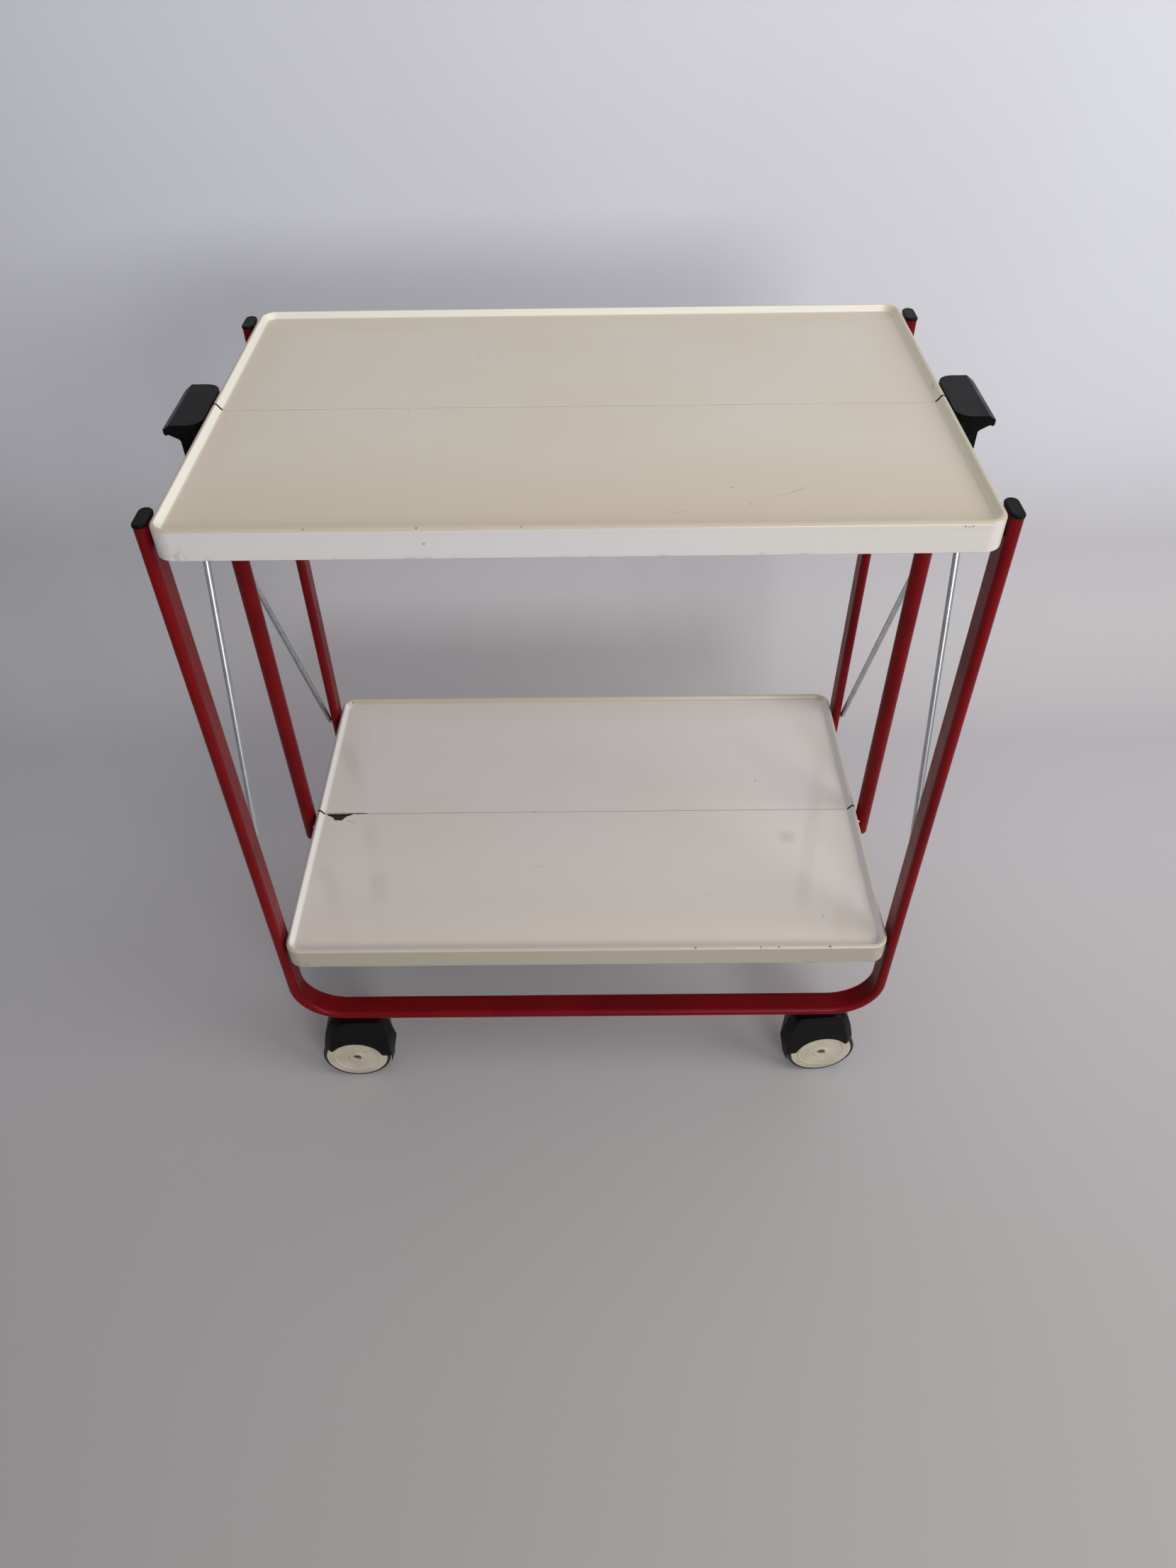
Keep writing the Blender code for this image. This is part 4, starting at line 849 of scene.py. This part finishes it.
def turned(profile, steps=FINE, ring=False, axis="Z"):
    """A shape turned about an axis from pairs of radius and height, solid or a closed ring."""
    circle = [math.tau * i / steps for i in range(steps)]
    rings = [[(r * math.cos(t), r * math.sin(t), h) for t in circle] for r, h in profile]
    mesh = loft(rings, closed=ring)
    if axis == "X":
        mesh.transform(Matrix.Rotation(math.radians(90), 4, "Y"))
    if axis == "Y":
        mesh.transform(Matrix.Rotation(math.radians(-90), 4, "X"))
    return mesh


def bar(radius, start, end, axis="X", steps=FINE, at=(0, 0, 0)):
    return moved(turned([(radius, height) for height in sorted((start, end))], steps, axis=axis), at)


def route(corners, radius, steps):
    """The line through these corners with each inner corner made an arc."""
    corners = [Vector(corner) for corner in corners]
    path = [corners[0]]
    for before, corner, after in zip(corners, corners[1:], corners[2:]):
        path += corner_arc(before, corner, after, radius, steps)
    return path + [corners[-1]]


def swept(path, section, up, sizes=None):
    """Rings of a section, given as pairs across and along up, at each point of a path in one plane."""
    rings = []
    for i, point in enumerate(path):
        ahead = path[min(i + 1, len(path) - 1)] - path[max(i - 1, 0)]
        side = ahead.cross(up).normalized()
        size = sizes[i] if sizes else 1
        rings.append([point + (side * a + up * b) * size for a, b in section])
    return rings


def stadium(thin, wide, steps=ROUND):
    """A flat oval with its long side along the second axis."""
    radius = thin / 2
    reach = wide / 2 - radius
    return arc((0, reach), radius, 0, 180, steps) + arc((0, -reach), radius, 180, 360, steps)


def dress(name, mesh, degrees=35):
    """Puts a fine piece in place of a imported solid, on the same body and in the same slot."""
    obj = held(mesh, f"{name}_fine")
    mesh.name = obj.name
    mesh.shade_smooth()
    mesh.set_sharp_from_angle(angle=math.radians(degrees))
    mesh.materials.clear()
    mesh.materials.append(LOOKS[SLOTS[name]])
    obj.modifiers.new("normals", "WEIGHTED_NORMAL").keep_sharp = True
    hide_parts(name)
    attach(obj, BODIES[name])


# trays

def tray_rows():
    """Pairs of inset and drop: up the skirt, over the rim's round and land, down its slope to the floor."""
    height = RIM["top"] - SKIRT_FOOT["top"]
    rows = [(FOOT_ROUND, height), (0, height - FOOT_ROUND)]
    for cosine, sine in arc(ORIGIN, 1, 0, 90, ROUND // 2):
        rows.append((RIM_ROUND * (1 - cosine), RIM_ROUND * (1 - sine)))
    for i in range(ROUND + 1):
        share = i / ROUND
        fall = (1 - math.cos(math.pi * share ** SLOPE_LEAN_SHARE)) / 2
        rows.append((RIM_ROUND + RIM_LAND + RIM_SLOPE * share, RIM_DROP * fall))
    return rows


def tray_ring(inset, z):
    outline = rectangle(HALF_WIDTH - inset, HALF_DEPTH - inset, TRAY_CORNER - inset)
    return [(x, y, z) for x, y in outline]


def half_of(rings, end, fold_y):
    """The part of a loft on one side of the fold, closed again."""
    bm = bmesh.new()
    bm.from_mesh(loft(rings))
    everything = bm.verts[:] + bm.edges[:] + bm.faces[:]
    plane = {"plane_co": (0, end * fold_y, 0), "plane_no": (0, -end, 0)}
    made = bmesh.ops.bisect_plane(bm, geom=everything, clear_outer=True, **plane)
    edges = [item for item in made["geom_cut"] if isinstance(item, bmesh.types.BMEdge)]
    bmesh.ops.edgeloop_fill(bm, edges=edges)
    return mesh_from(bm)


def tray_underside(tray, end):
    """What joins the hollow shell: pivot bosses and ribs."""
    floor = FLOOR[tray] - TRAY_WALL / 2
    shapes = []
    for side in SIDES.values():
        for y in (POST_PIVOT_Y, LEG_Y):
            foot = HALF_WIDTH - TRAY_WALL - BOSS_DEPTH
            shapes.append(bar(BOSS_RADIUS, side * foot, side * BOSS_REACH, at=(0, end * y, PIVOT[tray])))
    size = (RIB_THICKNESS, HALF_DEPTH - FOLD_GAP - TRAY_WALL, RIB_HEIGHT + TRAY_WALL / 2)
    for column in (-1, 0, 1):
        centre = (column * RIB_SPACING, end * HALF_DEPTH / 2, floor - size[2] / 2)
        shapes.append(moved(block(size), centre))
    return together(shapes)


def block(size):
    return extruded([(x * size[0] / 2, y * size[1] / 2) for x, y in SQUARE], size[2])


def tray_long_rib(tray, end):
    floor = FLOOR[tray] - TRAY_WALL / 2
    size = (2 * HALF_WIDTH - TRAY_WALL, RIB_THICKNESS, RIB_HEIGHT - RIB_STEP + TRAY_WALL / 2)
    return moved(block(size), (0, end * HALF_DEPTH / 2, floor - size[2] / 2))


def tray_cuts(tray, end):
    """The pin bores, the rims' set-back and the rounded fold edge below."""
    size = (3 * HALF_WIDTH, 2 * (FOLD_GAP + RIM_SET_BACK), RIM_DROP + CUT_PAST)
    shapes = [moved(block(size), (0, 0, FLOOR[tray] + RIM_CUT_LIFT + size[2] / 2))]
    for side in SIDES.values():
        for y, radius in ((POST_PIVOT_Y, POST_PIN_RADIUS), (LEG_Y, LEG_PIN_RADIUS)):
            start = side * (low(f"leg_pin_{tray}_back_right").x - SEAT_GAP)
            stop = side * (BOSS_REACH + CUT_PAST)
            shapes.append(bar(radius + PIN_GAP, start, stop, at=(0, end * y, PIVOT[tray])))
    outline = [(-end * y, z) for y, z in arc(ORIGIN, KNUCKLE_RADIUS, 0, -90, ROUND)]
    outline += [(0, -CUT_PAST), (-end * CUT_PAST, -CUT_PAST), (-end * CUT_PAST, 0)]
    relief = extruded(outline, 3 * HALF_WIDTH, "YZ")
    shapes.append(moved(relief, (0, end * POST_PIVOT_Y, PIVOT[tray])))
    return together(shapes)


def chip_cut():
    """The bite out of the lower front half's floor, narrower toward its bottom."""
    floor = FLOOR["bottom"]
    middle = sum(x for x, y in CHIP_OUTLINE) / len(CHIP_OUTLINE)
    rings = []
    for z, share in ((floor - CHIP_DEPTH, CHIP_SLANT_SHARE), (floor + RIM_DROP / 2, 1)):
        rings.append([(middle + (x - middle) * share, max(y * share, y), z) for x, y in CHIP_OUTLINE])
    return loft(rings)


def round_rim_ends(mesh, tray):
    """Rounds the edges of the rims' ends, which stand back from the fold."""
    foot = FLOOR[tray] + RIM_CUT_LIFT
    plane = FOLD_GAP + RIM_SET_BACK

    def on_end(vert):
        return abs(abs(vert.co.y) - plane) < NEAR and vert.co.z > foot - NEAR

    bm = bmesh.new()
    bm.from_mesh(mesh)
    edges = []
    for edge in bm.edges:
        if len(edge.link_faces) != 2 or not all(on_end(vert) for vert in edge.verts):
            continue
        if max(vert.co.z for vert in edge.verts) > foot + NEAR:
            edges.append(edge)
    options = {"offset_type": "OFFSET", "profile": 0.5, "affect": "EDGES", "clamp_overlap": True}
    bmesh.ops.bevel(bm, geom=edges, offset=RIM_END_ROUND, segments=EDGE_STEPS, **options)
    return mesh_from(bm)


def make_tray_half(tray, end_name):
    end = ENDS[end_name]
    solid = half_of([tray_ring(inset, RIM[tray] - drop) for inset, drop in tray_rows()], end, FOLD_GAP)
    levels = (SKIRT_FOOT[tray] - CUT_PAST, FLOOR[tray] - TRAY_WALL)
    rings = [tray_ring(TRAY_WALL, z) for z in levels]
    hollow = half_of(rings, end, FOLD_GAP + TRAY_WALL)
    changes = [cut(hollow), joined(tray_underside(tray, end)), joined(tray_long_rib(tray, end))]
    changes.append(cut(tray_cuts(tray, end)))
    if (tray, end_name) == ("bottom", "front"):
        changes.append(cut(chip_cut()))
    dress(f"{tray}_tray_{end_name}", round_rim_ends(baked(solid, *changes), tray), 30)


# frames and caps

def stem(side):
    """The caster's pin below the rail, with the washer it is welded through."""
    underside = HOOD_TOP + SEAT_GAP + STEM_COLLAR_HEIGHT
    seat, weld = HOOD_TOP + SEAT_GAP, underside + TUBE_WALL / 2
    profile = [(STEM_RADIUS - STEM_COLLAR_EDGE, STEM_FOOT), (STEM_RADIUS, STEM_FOOT + STEM_COLLAR_EDGE)]
    profile += [(STEM_RADIUS, seat), (STEM_COLLAR_RADIUS - STEM_COLLAR_EDGE, seat)]
    profile += [(STEM_COLLAR_RADIUS, seat + STEM_COLLAR_EDGE), (STEM_COLLAR_RADIUS, weld)]
    profile += [(STEM_RADIUS, weld), (STEM_RADIUS, weld + TUBE_WALL)]
    return moved(turned(profile, FINE), (side * abs(PLACES["caster_back_left_swivel"].x), 0, 0))


def make_frame(end_name):
    """The U of flat-oval tube, with its caster stems and the holes for pins and rod hooks."""
    rail_z = HOOD_TOP + SEAT_GAP + STEM_COLLAR_HEIGHT + TUBE_THIN / 2
    corners = [(-LEG_X, 0, TUBE_TOP), (-LEG_X, 0, rail_z), (LEG_X, 0, rail_z), (LEG_X, 0, TUBE_TOP)]
    path = route(corners, BEND_RADIUS, ROUND)
    up = Vector((0, 1, 0))
    outer = swept(path, stadium(TUBE_THIN, TUBE_WIDE), up)
    inner = swept(path, stadium(TUBE_THIN - 2 * TUBE_WALL, TUBE_WIDE - 2 * TUBE_WALL), up)
    tube = loft(outer + inner[::-1], closed=True)
    hook = PLACES[f"rod_{end_name}_left_hinge"]
    holes = []
    for side in SIDES.values():
        start, middle, stop = [side * (LEG_X + step * TUBE_THIN) for step in (-1, 0, 1)]
        for tray in TRAYS:
            holes.append(bar(LEG_PIN_RADIUS + PIN_GAP, start, stop, at=(0, 0, PIVOT[tray])))
        place = (0, hook.y - ENDS[end_name] * LEG_Y, hook.z)
        holes.append(bar(ROD_RADIUS + PIN_GAP, middle, stop, at=place))
    mesh = baked(tube, joined(together([stem(side) for side in SIDES.values()])), cut(together(holes)))
    dress(f"{end_name}_frame", moved(mesh, (0, ENDS[end_name] * LEG_Y, 0)))


def make_cap(name, side, end):
    """A plug and a thin oval head with a rounded edge and a slightly dished top."""
    foot, top = TUBE_TOP + CAP_SEAT_GAP, CAP_TOP
    gap = 2 * (TUBE_WALL + SEAT_GAP)
    plug = stadium(TUBE_THIN - gap, TUBE_WIDE - gap)
    thin, wide = TUBE_THIN + 2 * CAP_OVERHANG, TUBE_WIDE + 2 * CAP_OVERHANG
    levels = [(plug, low(name).z), (plug, foot)]
    levels.append((stadium(thin - CAP_OVERHANG, wide - CAP_OVERHANG), foot))
    levels.append((stadium(thin, wide), foot + CAP_OVERHANG / 2))
    for cosine, sine in arc(ORIGIN, 1, 0, 90, ROUND // 2):
        inset = 2 * CAP_ROUND * (1 - cosine)
        levels.append((stadium(thin - inset, wide - inset), top - CAP_ROUND * (1 - sine)))
    dish = CAP_ROUND + CAP_OVERHANG
    levels.append((stadium(thin - 2 * dish, wide - 2 * dish), top - CAP_DISH))
    rings = [[(x + side * LEG_X, y + end * LEG_Y, z) for x, y in outline] for outline, z in levels]
    dress(name, loft(rings), 40)


# posts, handles and sliders

def make_post(name, side):
    inner = POST_RADIUS - POST_WALL
    foot, top = low(name).z, high(name).z
    profile = [(inner, foot), (POST_RADIUS - POST_EDGE, foot), (POST_RADIUS, foot + POST_EDGE)]
    profile += [(POST_RADIUS, top - POST_EDGE), (POST_RADIUS - POST_EDGE, top), (inner, top)]
    bores = []
    for end in ENDS.values():
        for tray in TRAYS:
            place = (0, end * POST_PIVOT_Y, PIVOT[tray])
            bores.append(bar(POST_PIN_RADIUS + PIN_GAP, -side * CUT_PAST, -side * POST_WALL, at=place))
    mesh = baked(turned(profile, 2 * FINE, ring=True), cut(together(bores)))
    dress(name, moved(mesh, (side * POST_X, 0, 0)))


def facing(mesh, side, z=0):
    """The mesh made for the right side, turned to its own side and put at the post."""
    mesh.transform(Matrix.Rotation(0 if side > 0 else math.pi, 4, "Z"))
    return moved(mesh, (side * POST_X, 0, z))


def make_handle(name, side):
    """The pull: a plate flush with the rim, a lip for the fingers, a web and a socket on the post."""
    section = [(HANDLE_INNER, 0, 0), (HANDLE_RIDGE, 0, 0)]
    section += [(HANDLE_LIP, -HANDLE_CHAMFER_DROP, HANDLE_CHAMFER_ROUND)]
    section += [(HANDLE_LIP, -HANDLE_LIP_DROP, HANDLE_LIP_ROUND)]
    lip_back = (HANDLE_LIP - HANDLE_LIP_THICKNESS, HANDLE_LIP_SLANT - HANDLE_LIP_DROP)
    section += [(*lip_back, HANDLE_LIP_ROUND), (POST_RADIUS, -HANDLE_GUSSET_DROP, HANDLE_GUSSET_ROUND)]
    section += [(POST_RADIUS, -HANDLE_WEB_DROP, 0), (-HANDLE_WEB_INSET, -HANDLE_WEB_DROP, 0)]
    section += [(-HANDLE_WEB_INSET, -HANDLE_PLATE, HANDLE_EDGE), (HANDLE_INNER, -HANDLE_PLATE, 0)]
    plan = [(HANDLE_INNER, -HANDLE_HALF, HANDLE_INNER_ROUND), (HANDLE_LIP, -HANDLE_HALF, HANDLE_OUTER_ROUND)]
    plan += [(x, -y, radius) for x, y, radius in plan[::-1]]
    shape = extruded(rounded(section, ROUND // 2), 2 * HANDLE_HALF + CUT_PAST, "XZ")
    bore_radius = POST_RADIUS + PIN_GAP
    socket_foot = HANDLE_FOOT - HANDLE_TOP
    socket = bar(bore_radius + HANDLE_SOCKET_WALL, socket_foot, -HANDLE_SOCKET_TOP, "Z", 2 * FINE)
    bore = bar(bore_radius, socket_foot - CUT_PAST, SEAT_GAP - POST_TOP_DROP, "Z", 2 * FINE)
    plate = shared(extruded(rounded(plan), 3 * HANDLE_HALF))
    changes = (plate, eased(HANDLE_EDGE, 15), joined(socket), cut(bore))
    dress(name, facing(baked(shape, *changes), side, HANDLE_TOP), 30)


def make_slider(name, side):
    """The sleeve on the post, with a flat pad outside for the stay rods."""
    ring = POST_RADIUS + PIN_GAP + SLIDER_WALL
    reach, half = high("rod_slider_right").x - POST_X, high(name).y
    foot, top = low(name).z, high(name).z
    pad = [(0, half, 0), (ring / 2, -half, 0), (reach, -half, SLIDER_PAD_ROUND)]
    pad += [(reach, half, SLIDER_PAD_ROUND), (ring / 2, half, 0)]
    plan = arc(ORIGIN, ring, 90, 270, FINE) + rounded(pad, ROUND // 2)[1:]
    bore = bar(POST_RADIUS + PIN_GAP, foot - top, top - foot, "Z", 2 * FINE)
    mesh = baked(extruded(plan, top - foot), eased(SLIDER_EDGE, 40), cut(bore))
    dress(name, facing(mesh, side, (foot + top) / 2))


# rods and pins

def make_rod(end_name, side_name):
    """A stay rod, hooked through the leg's outer wall, its rounded upper end beside the slider's pad."""
    side, end = SIDES[side_name], ENDS[end_name]
    foot = PLACES[f"rod_{end_name}_{side_name}_hinge"]
    slider = f"rod_slider_{side_name}"
    top = Vector((side * ROD_UPPER_X, end * ROD_UPPER_Y, (low(slider).z + high(slider).z) / 2))
    along = (top - foot).normalized()
    tip = top + along * (ROD_PAST - ROD_END_ROUND)
    path = route([(side * ROD_HOOK_X, foot.y, foot.z), foot, tip], ROD_BEND, ROUND)
    sizes = [1] * len(path)
    for cosine, sine in arc(ORIGIN, 1, 0, 90, ROUND // 4)[1:]:
        path.append(tip + along * ROD_END_ROUND * sine)
        sizes.append(1 - ROD_END_ROUND * (1 - cosine) / ROD_RADIUS)
    up = (path[0] - foot).cross(along).normalized()
    section = arc(ORIGIN, ROD_RADIUS, 0, 360 - 360 / FINE, FINE - 1)
    dress(f"stay_rod_{end_name}_{side_name}", loft(swept(path, section, up, sizes)))


def make_post_pin(name, y, z):
    dress(name, bar(POST_PIN_RADIUS, low(name).x, high(name).x, at=(0, y, z)))


def make_leg_pin(name, side, y, z):
    """A rivet from inside the tray's boss to a domed head outside the leg."""
    start, stop = sorted((abs(low(name).x), abs(high(name).x)))
    face = stop - LEG_PIN_HEAD_HEIGHT
    profile = [(LEG_PIN_RADIUS, start), (LEG_PIN_RADIUS, face)]
    for cosine, sine in arc(ORIGIN, 1, 0, 90, ROUND // 2)[:-1]:
        profile.append((LEG_PIN_HEAD * cosine, face + LEG_PIN_HEAD_HEIGHT * sine))
    mesh = turned(profile, axis="X")
    if side < 0:
        mesh.transform(Matrix.Rotation(math.pi, 4, "Z"))
    dress(name, moved(mesh, (0, y, z)))


# casters, made with the hub's middle at the origin and +X trailing

def hood_body():
    half = WHEEL_OUTER + SEAT_GAP + HOOD_CHEEK
    rings = []
    for height_share, tail_share, ridge_share, cheek_share in HOOD_SHARES:
        tail = HOOD_TAIL * tail_share
        ridge = HOOD_NOSE * ridge_share
        cheek = HOOD_CHEEK_FRONT * cheek_share
        plan = [(-cheek, -half), (-ridge, 0), (-cheek, half)]
        plan += [(tail - HOOD_TAIL_ROUND, half), (tail, half - HOOD_TAIL_ROUND)]
        plan += [(tail, HOOD_TAIL_ROUND - half), (tail - HOOD_TAIL_ROUND, -half)]
        rings.append([(x, y, HOOD_TOP * height_share - WHEEL_RADIUS) for x, y in plan])
    return loft(rings)


def hood_cavities():
    radius = WHEEL_RADIUS + HOOD_WHEEL_GAP
    outer = WHEEL_OUTER + SEAT_GAP
    spans = ((-outer, -HOOD_WEB / 2), (HOOD_WEB / 2, outer))
    return together([bar(radius, start, end, "Y", WHEEL) for start, end in spans])


def ear(before, corner, after):
    """The small curve that turns an end of the arch out into the edge beside it."""
    before, corner, after = Vector(before), Vector(corner), Vector(after)
    first = corner + (before - corner).normalized() * HOOD_EAR_ROUND
    last = corner + (after - corner).normalized() * HOOD_EAR_ROUND
    shares = [i / ROUND for i in range(ROUND + 1)]
    return [first.lerp(corner, share).lerp(corner.lerp(last, share), share)[:] for share in shares]


def hood_arches():
    """What is cut from both cheeks below the arch."""
    reach, foot = HOOD_CHEEK_FRONT + CUT_PAST, -WHEEL_RADIUS - CUT_PAST
    start = math.degrees(math.asin(HOOD_TAIL_FOOT / HOOD_ARCH_RADIUS))
    end = 180 - math.degrees(math.asin(HOOD_CHEEK_FOOT / HOOD_ARCH_RADIUS))
    trim = math.degrees(HOOD_EAR_ROUND / HOOD_ARCH_RADIUS)
    inner = arc(ORIGIN, HOOD_ARCH_RADIUS, start + trim, end - trim, 2 * FINE)
    first, last = [arc(ORIGIN, HOOD_ARCH_RADIUS, turn, turn, 1)[0] for turn in (start, end)]
    tail, nose = (reach, HOOD_TAIL_FOOT), (-reach, HOOD_CHEEK_FOOT)
    outline = [tail, *ear(tail, first, inner[0]), *inner[1:-1], *ear(inner[-1], last, nose), nose]
    outline += [(-reach, foot), (reach, foot)]
    depth = HOOD_CHEEK + CUT_PAST
    middle = WHEEL_OUTER + depth / 2
    return together([moved(extruded(outline, depth, "XZ"), (0, side * middle, 0)) for side in (-1, 1)])


def hood_web_cut():
    nose = HOOD_WHEEL_GAP - HOOD_CHEEK_FRONT
    outline = arc(ORIGIN, AXLE_EYE, 360, 270, ROUND)
    outline += [(nose, -AXLE_EYE), (nose, -WHEEL_RADIUS), (HOOD_CHEEK_FRONT, -WHEEL_RADIUS)]
    outline += [(HOOD_CHEEK_FRONT, HOOD_TAIL_FOOT), (AXLE_EYE, HOOD_TAIL_FOOT)]
    return extruded(outline, 3 * WHEEL_OUTER, "XZ")


def hood_bores():
    foot = STEM_FOOT - STEM_END_GAP - WHEEL_RADIUS
    pin = bar(STEM_RADIUS + PIN_GAP, foot, HOOD_TOP, "Z", at=(-TRAIL, 0, 0))
    return together([pin, bar(AXLE_RADIUS + PIN_GAP, -HOOD_WEB, HOOD_WEB, "Y")])


def hood_mesh():
    """The moulded hood: faceted, with soft edges, an arch over each wheel and a web between them."""
    changes = [eased(HOOD_EDGE, 12), cut(hood_cavities()), cut(hood_arches(), "MANIFOLD")]
    return baked(hood_body(), *changes, cut(hood_web_cut()), cut(hood_bores()))


def tyre_profile():
    """Pairs of radius and distance out, round the tyre's section."""
    inner, outer, bore = WHEEL_INNER, WHEEL_OUTER - TYRE_SET_BACK, DISC_RADIUS + SEAT_GAP
    radius = WHEEL_RADIUS - TYRE_ROUND
    profile = [(bore, inner), *arc((radius, inner + TYRE_ROUND), TYRE_ROUND, -90, 0, ROUND // 2)]
    return profile + [*arc((radius, outer - TYRE_ROUND), TYRE_ROUND, 0, 90, ROUND // 2), (bore, outer)]


def disc_profile():
    """Pairs of radius and distance out, round the hub disc: rim, raised ring, collar, hole and bore."""
    inner, face = WHEEL_INNER, WHEEL_OUTER
    bore = AXLE_RADIUS + PIN_GAP
    profile = [(bore, inner), (DISC_RADIUS, inner)]
    profile += arc((DISC_RADIUS - DISC_EDGE, face - DISC_EDGE), DISC_EDGE, 0, 90, DISC_EDGE_STEPS)
    for i in range(ROUND + 1):
        across = 1 - 2 * i / ROUND
        rise = RING_RISE * (1 + math.cos(math.pi * across)) / 2
        profile.append((RING_RADIUS + RING_HALF * across, face + rise))
    for i in range(ROUND // 2 + 1):
        share = i / (ROUND // 2)
        rise = COLLAR_RISE * (1 - math.cos(math.pi * share)) / 2
        profile.append((COLLAR_RADIUS + RING_HALF * (1 - share), face + rise))
    rim = (HOLE_RADIUS + HOLE_EDGE, face + COLLAR_RISE - HOLE_EDGE)
    profile += arc(rim, HOLE_EDGE, 90, 180, DISC_EDGE_STEPS)
    return profile + [(HOLE_RADIUS, face - HOLE_DEPTH), (bore, face - HOLE_DEPTH)]


def wheel_piece(profile, face):
    """A turned wheel piece about the hub's axis, on the side of its middle that face gives."""
    mesh = turned(profile, WHEEL, ring=True)
    mesh.transform(Matrix.Rotation(math.radians(-90 * face), 4, "X"))
    return mesh


def make_caster(end_name, side_name):
    base = f"caster_{end_name}_{side_name}"
    pin, hub = PLACES[f"{base}_swivel"], PLACES[f"{base}_spin"]
    turn = Matrix.Rotation(math.atan2(hub.y - pin.y, hub.x - pin.x), 4, "Z")
    reach = WHEEL_OUTER - AXLE_RECESS
    head = [(AXLE_RADIUS, reach - AXLE_HEAD), (AXLE_HEAD_RADIUS, reach - AXLE_HEAD)]
    head += [(AXLE_HEAD_RADIUS, reach - AXLE_EDGE), (AXLE_HEAD_RADIUS - AXLE_EDGE, reach)]
    axle = [(radius, -height) for radius, height in head[::-1]] + head
    pieces = {"hood": (hood_mesh(), 25), "axle": (turned(axle, axis="Y"), 35)}
    for face, word in ((-1, "a"), (1, "b")):
        pieces[f"tyre_{word}"] = (wheel_piece(tyre_profile(), face), 35)
        pieces[f"disc_{word}"] = (wheel_piece(disc_profile(), face), 35)
    for word, (mesh, degrees) in pieces.items():
        mesh.transform(Matrix.Translation(hub) @ turn)
        dress(f"{base}_{word}", mesh, degrees)


for end_name, end in ENDS.items():
    make_frame(end_name)
    for tray in TRAYS:
        make_tray_half(tray, end_name)
    for side_name, side in SIDES.items():
        make_cap(f"{end_name}_cap_{side_name}", side, end)
        make_rod(end_name, side_name)
        make_caster(end_name, side_name)
        for tray in TRAYS:
            place_name = f"{tray}_{end_name}_{side_name}"
            make_post_pin(f"post_pin_{place_name}", end * POST_PIVOT_Y, PIVOT[tray])
            make_leg_pin(f"leg_pin_{place_name}", side, end * LEG_Y, PIVOT[tray])
for side_name, side in SIDES.items():
    make_post(f"post_{side_name}", side)
    make_handle(f"handle_{side_name}", side)
    make_slider(f"rod_slider_{side_name}", side)


# light, stage and camera

def sweep():
    """Floor and wall in one curved sheet."""
    bend = arc((WALL_Y - SWEEP_BEND, SWEEP_BEND), SWEEP_BEND, -90, 0, ROUND)
    line = [(SWEEP_FRONT, 0), *bend, (WALL_Y, SWEEP_TOP)]
    bm = bmesh.new()
    rows = [[bm.verts.new((x, y, z)) for y, z in line] for x in (-SWEEP_HALF, SWEEP_HALF)]
    for i in range(len(line) - 1):
        bm.faces.new((rows[0][i], rows[1][i], rows[1][i + 1], rows[0][i + 1]))
    mesh = mesh_from(bm)
    if mesh.polygons[0].normal.z < 0:
        mesh.flip_normals()
    mesh.shade_smooth()
    mesh.materials.append(stage_paper())
    held(mesh, "sweep")


def area_light(name, location, aim, size, power, colour):
    light = bpy.data.lights.new(name, "AREA")
    light.shape = "RECTANGLE"
    light.size, light.size_y = size
    light.energy = power
    light.color = colour
    lamp = held(light, name)
    lamp.location = location
    lamp.rotation_euler = (Vector(aim) - Vector(location)).to_track_quat("-Z", "Y").to_euler()


def set_camera():
    camera = bpy.data.cameras.new("camera")
    camera.sensor_width = CAMERA_SENSOR
    camera.sensor_fit = "HORIZONTAL"
    camera.lens = CAMERA_LENS
    place = Matrix.Translation(CAMERA_PLACE)
    for angle, axis in ((CAMERA_YAW, "Z"), (math.pi / 2 - CAMERA_PITCH, "X"), (CAMERA_ROLL, "Z")):
        place @= Matrix.Rotation(angle, 4, axis)
    viewer = held(camera, "camera")
    viewer.matrix_world = place
    bpy.context.scene.camera = viewer


def set_world():
    world = bpy.data.worlds.new("world")
    bpy.context.scene.world = world
    world.use_nodes = True
    sockets = world.node_tree.nodes["Background"].inputs
    put(sockets["Color"], WORLD_COLOUR)
    put(sockets["Strength"], WORLD_STRENGTH)


sweep()
set_camera()
set_world()
for name, settings in LAMPS.items():
    area_light(name, *settings)
bpy.context.scene.view_settings.view_transform = "Standard"
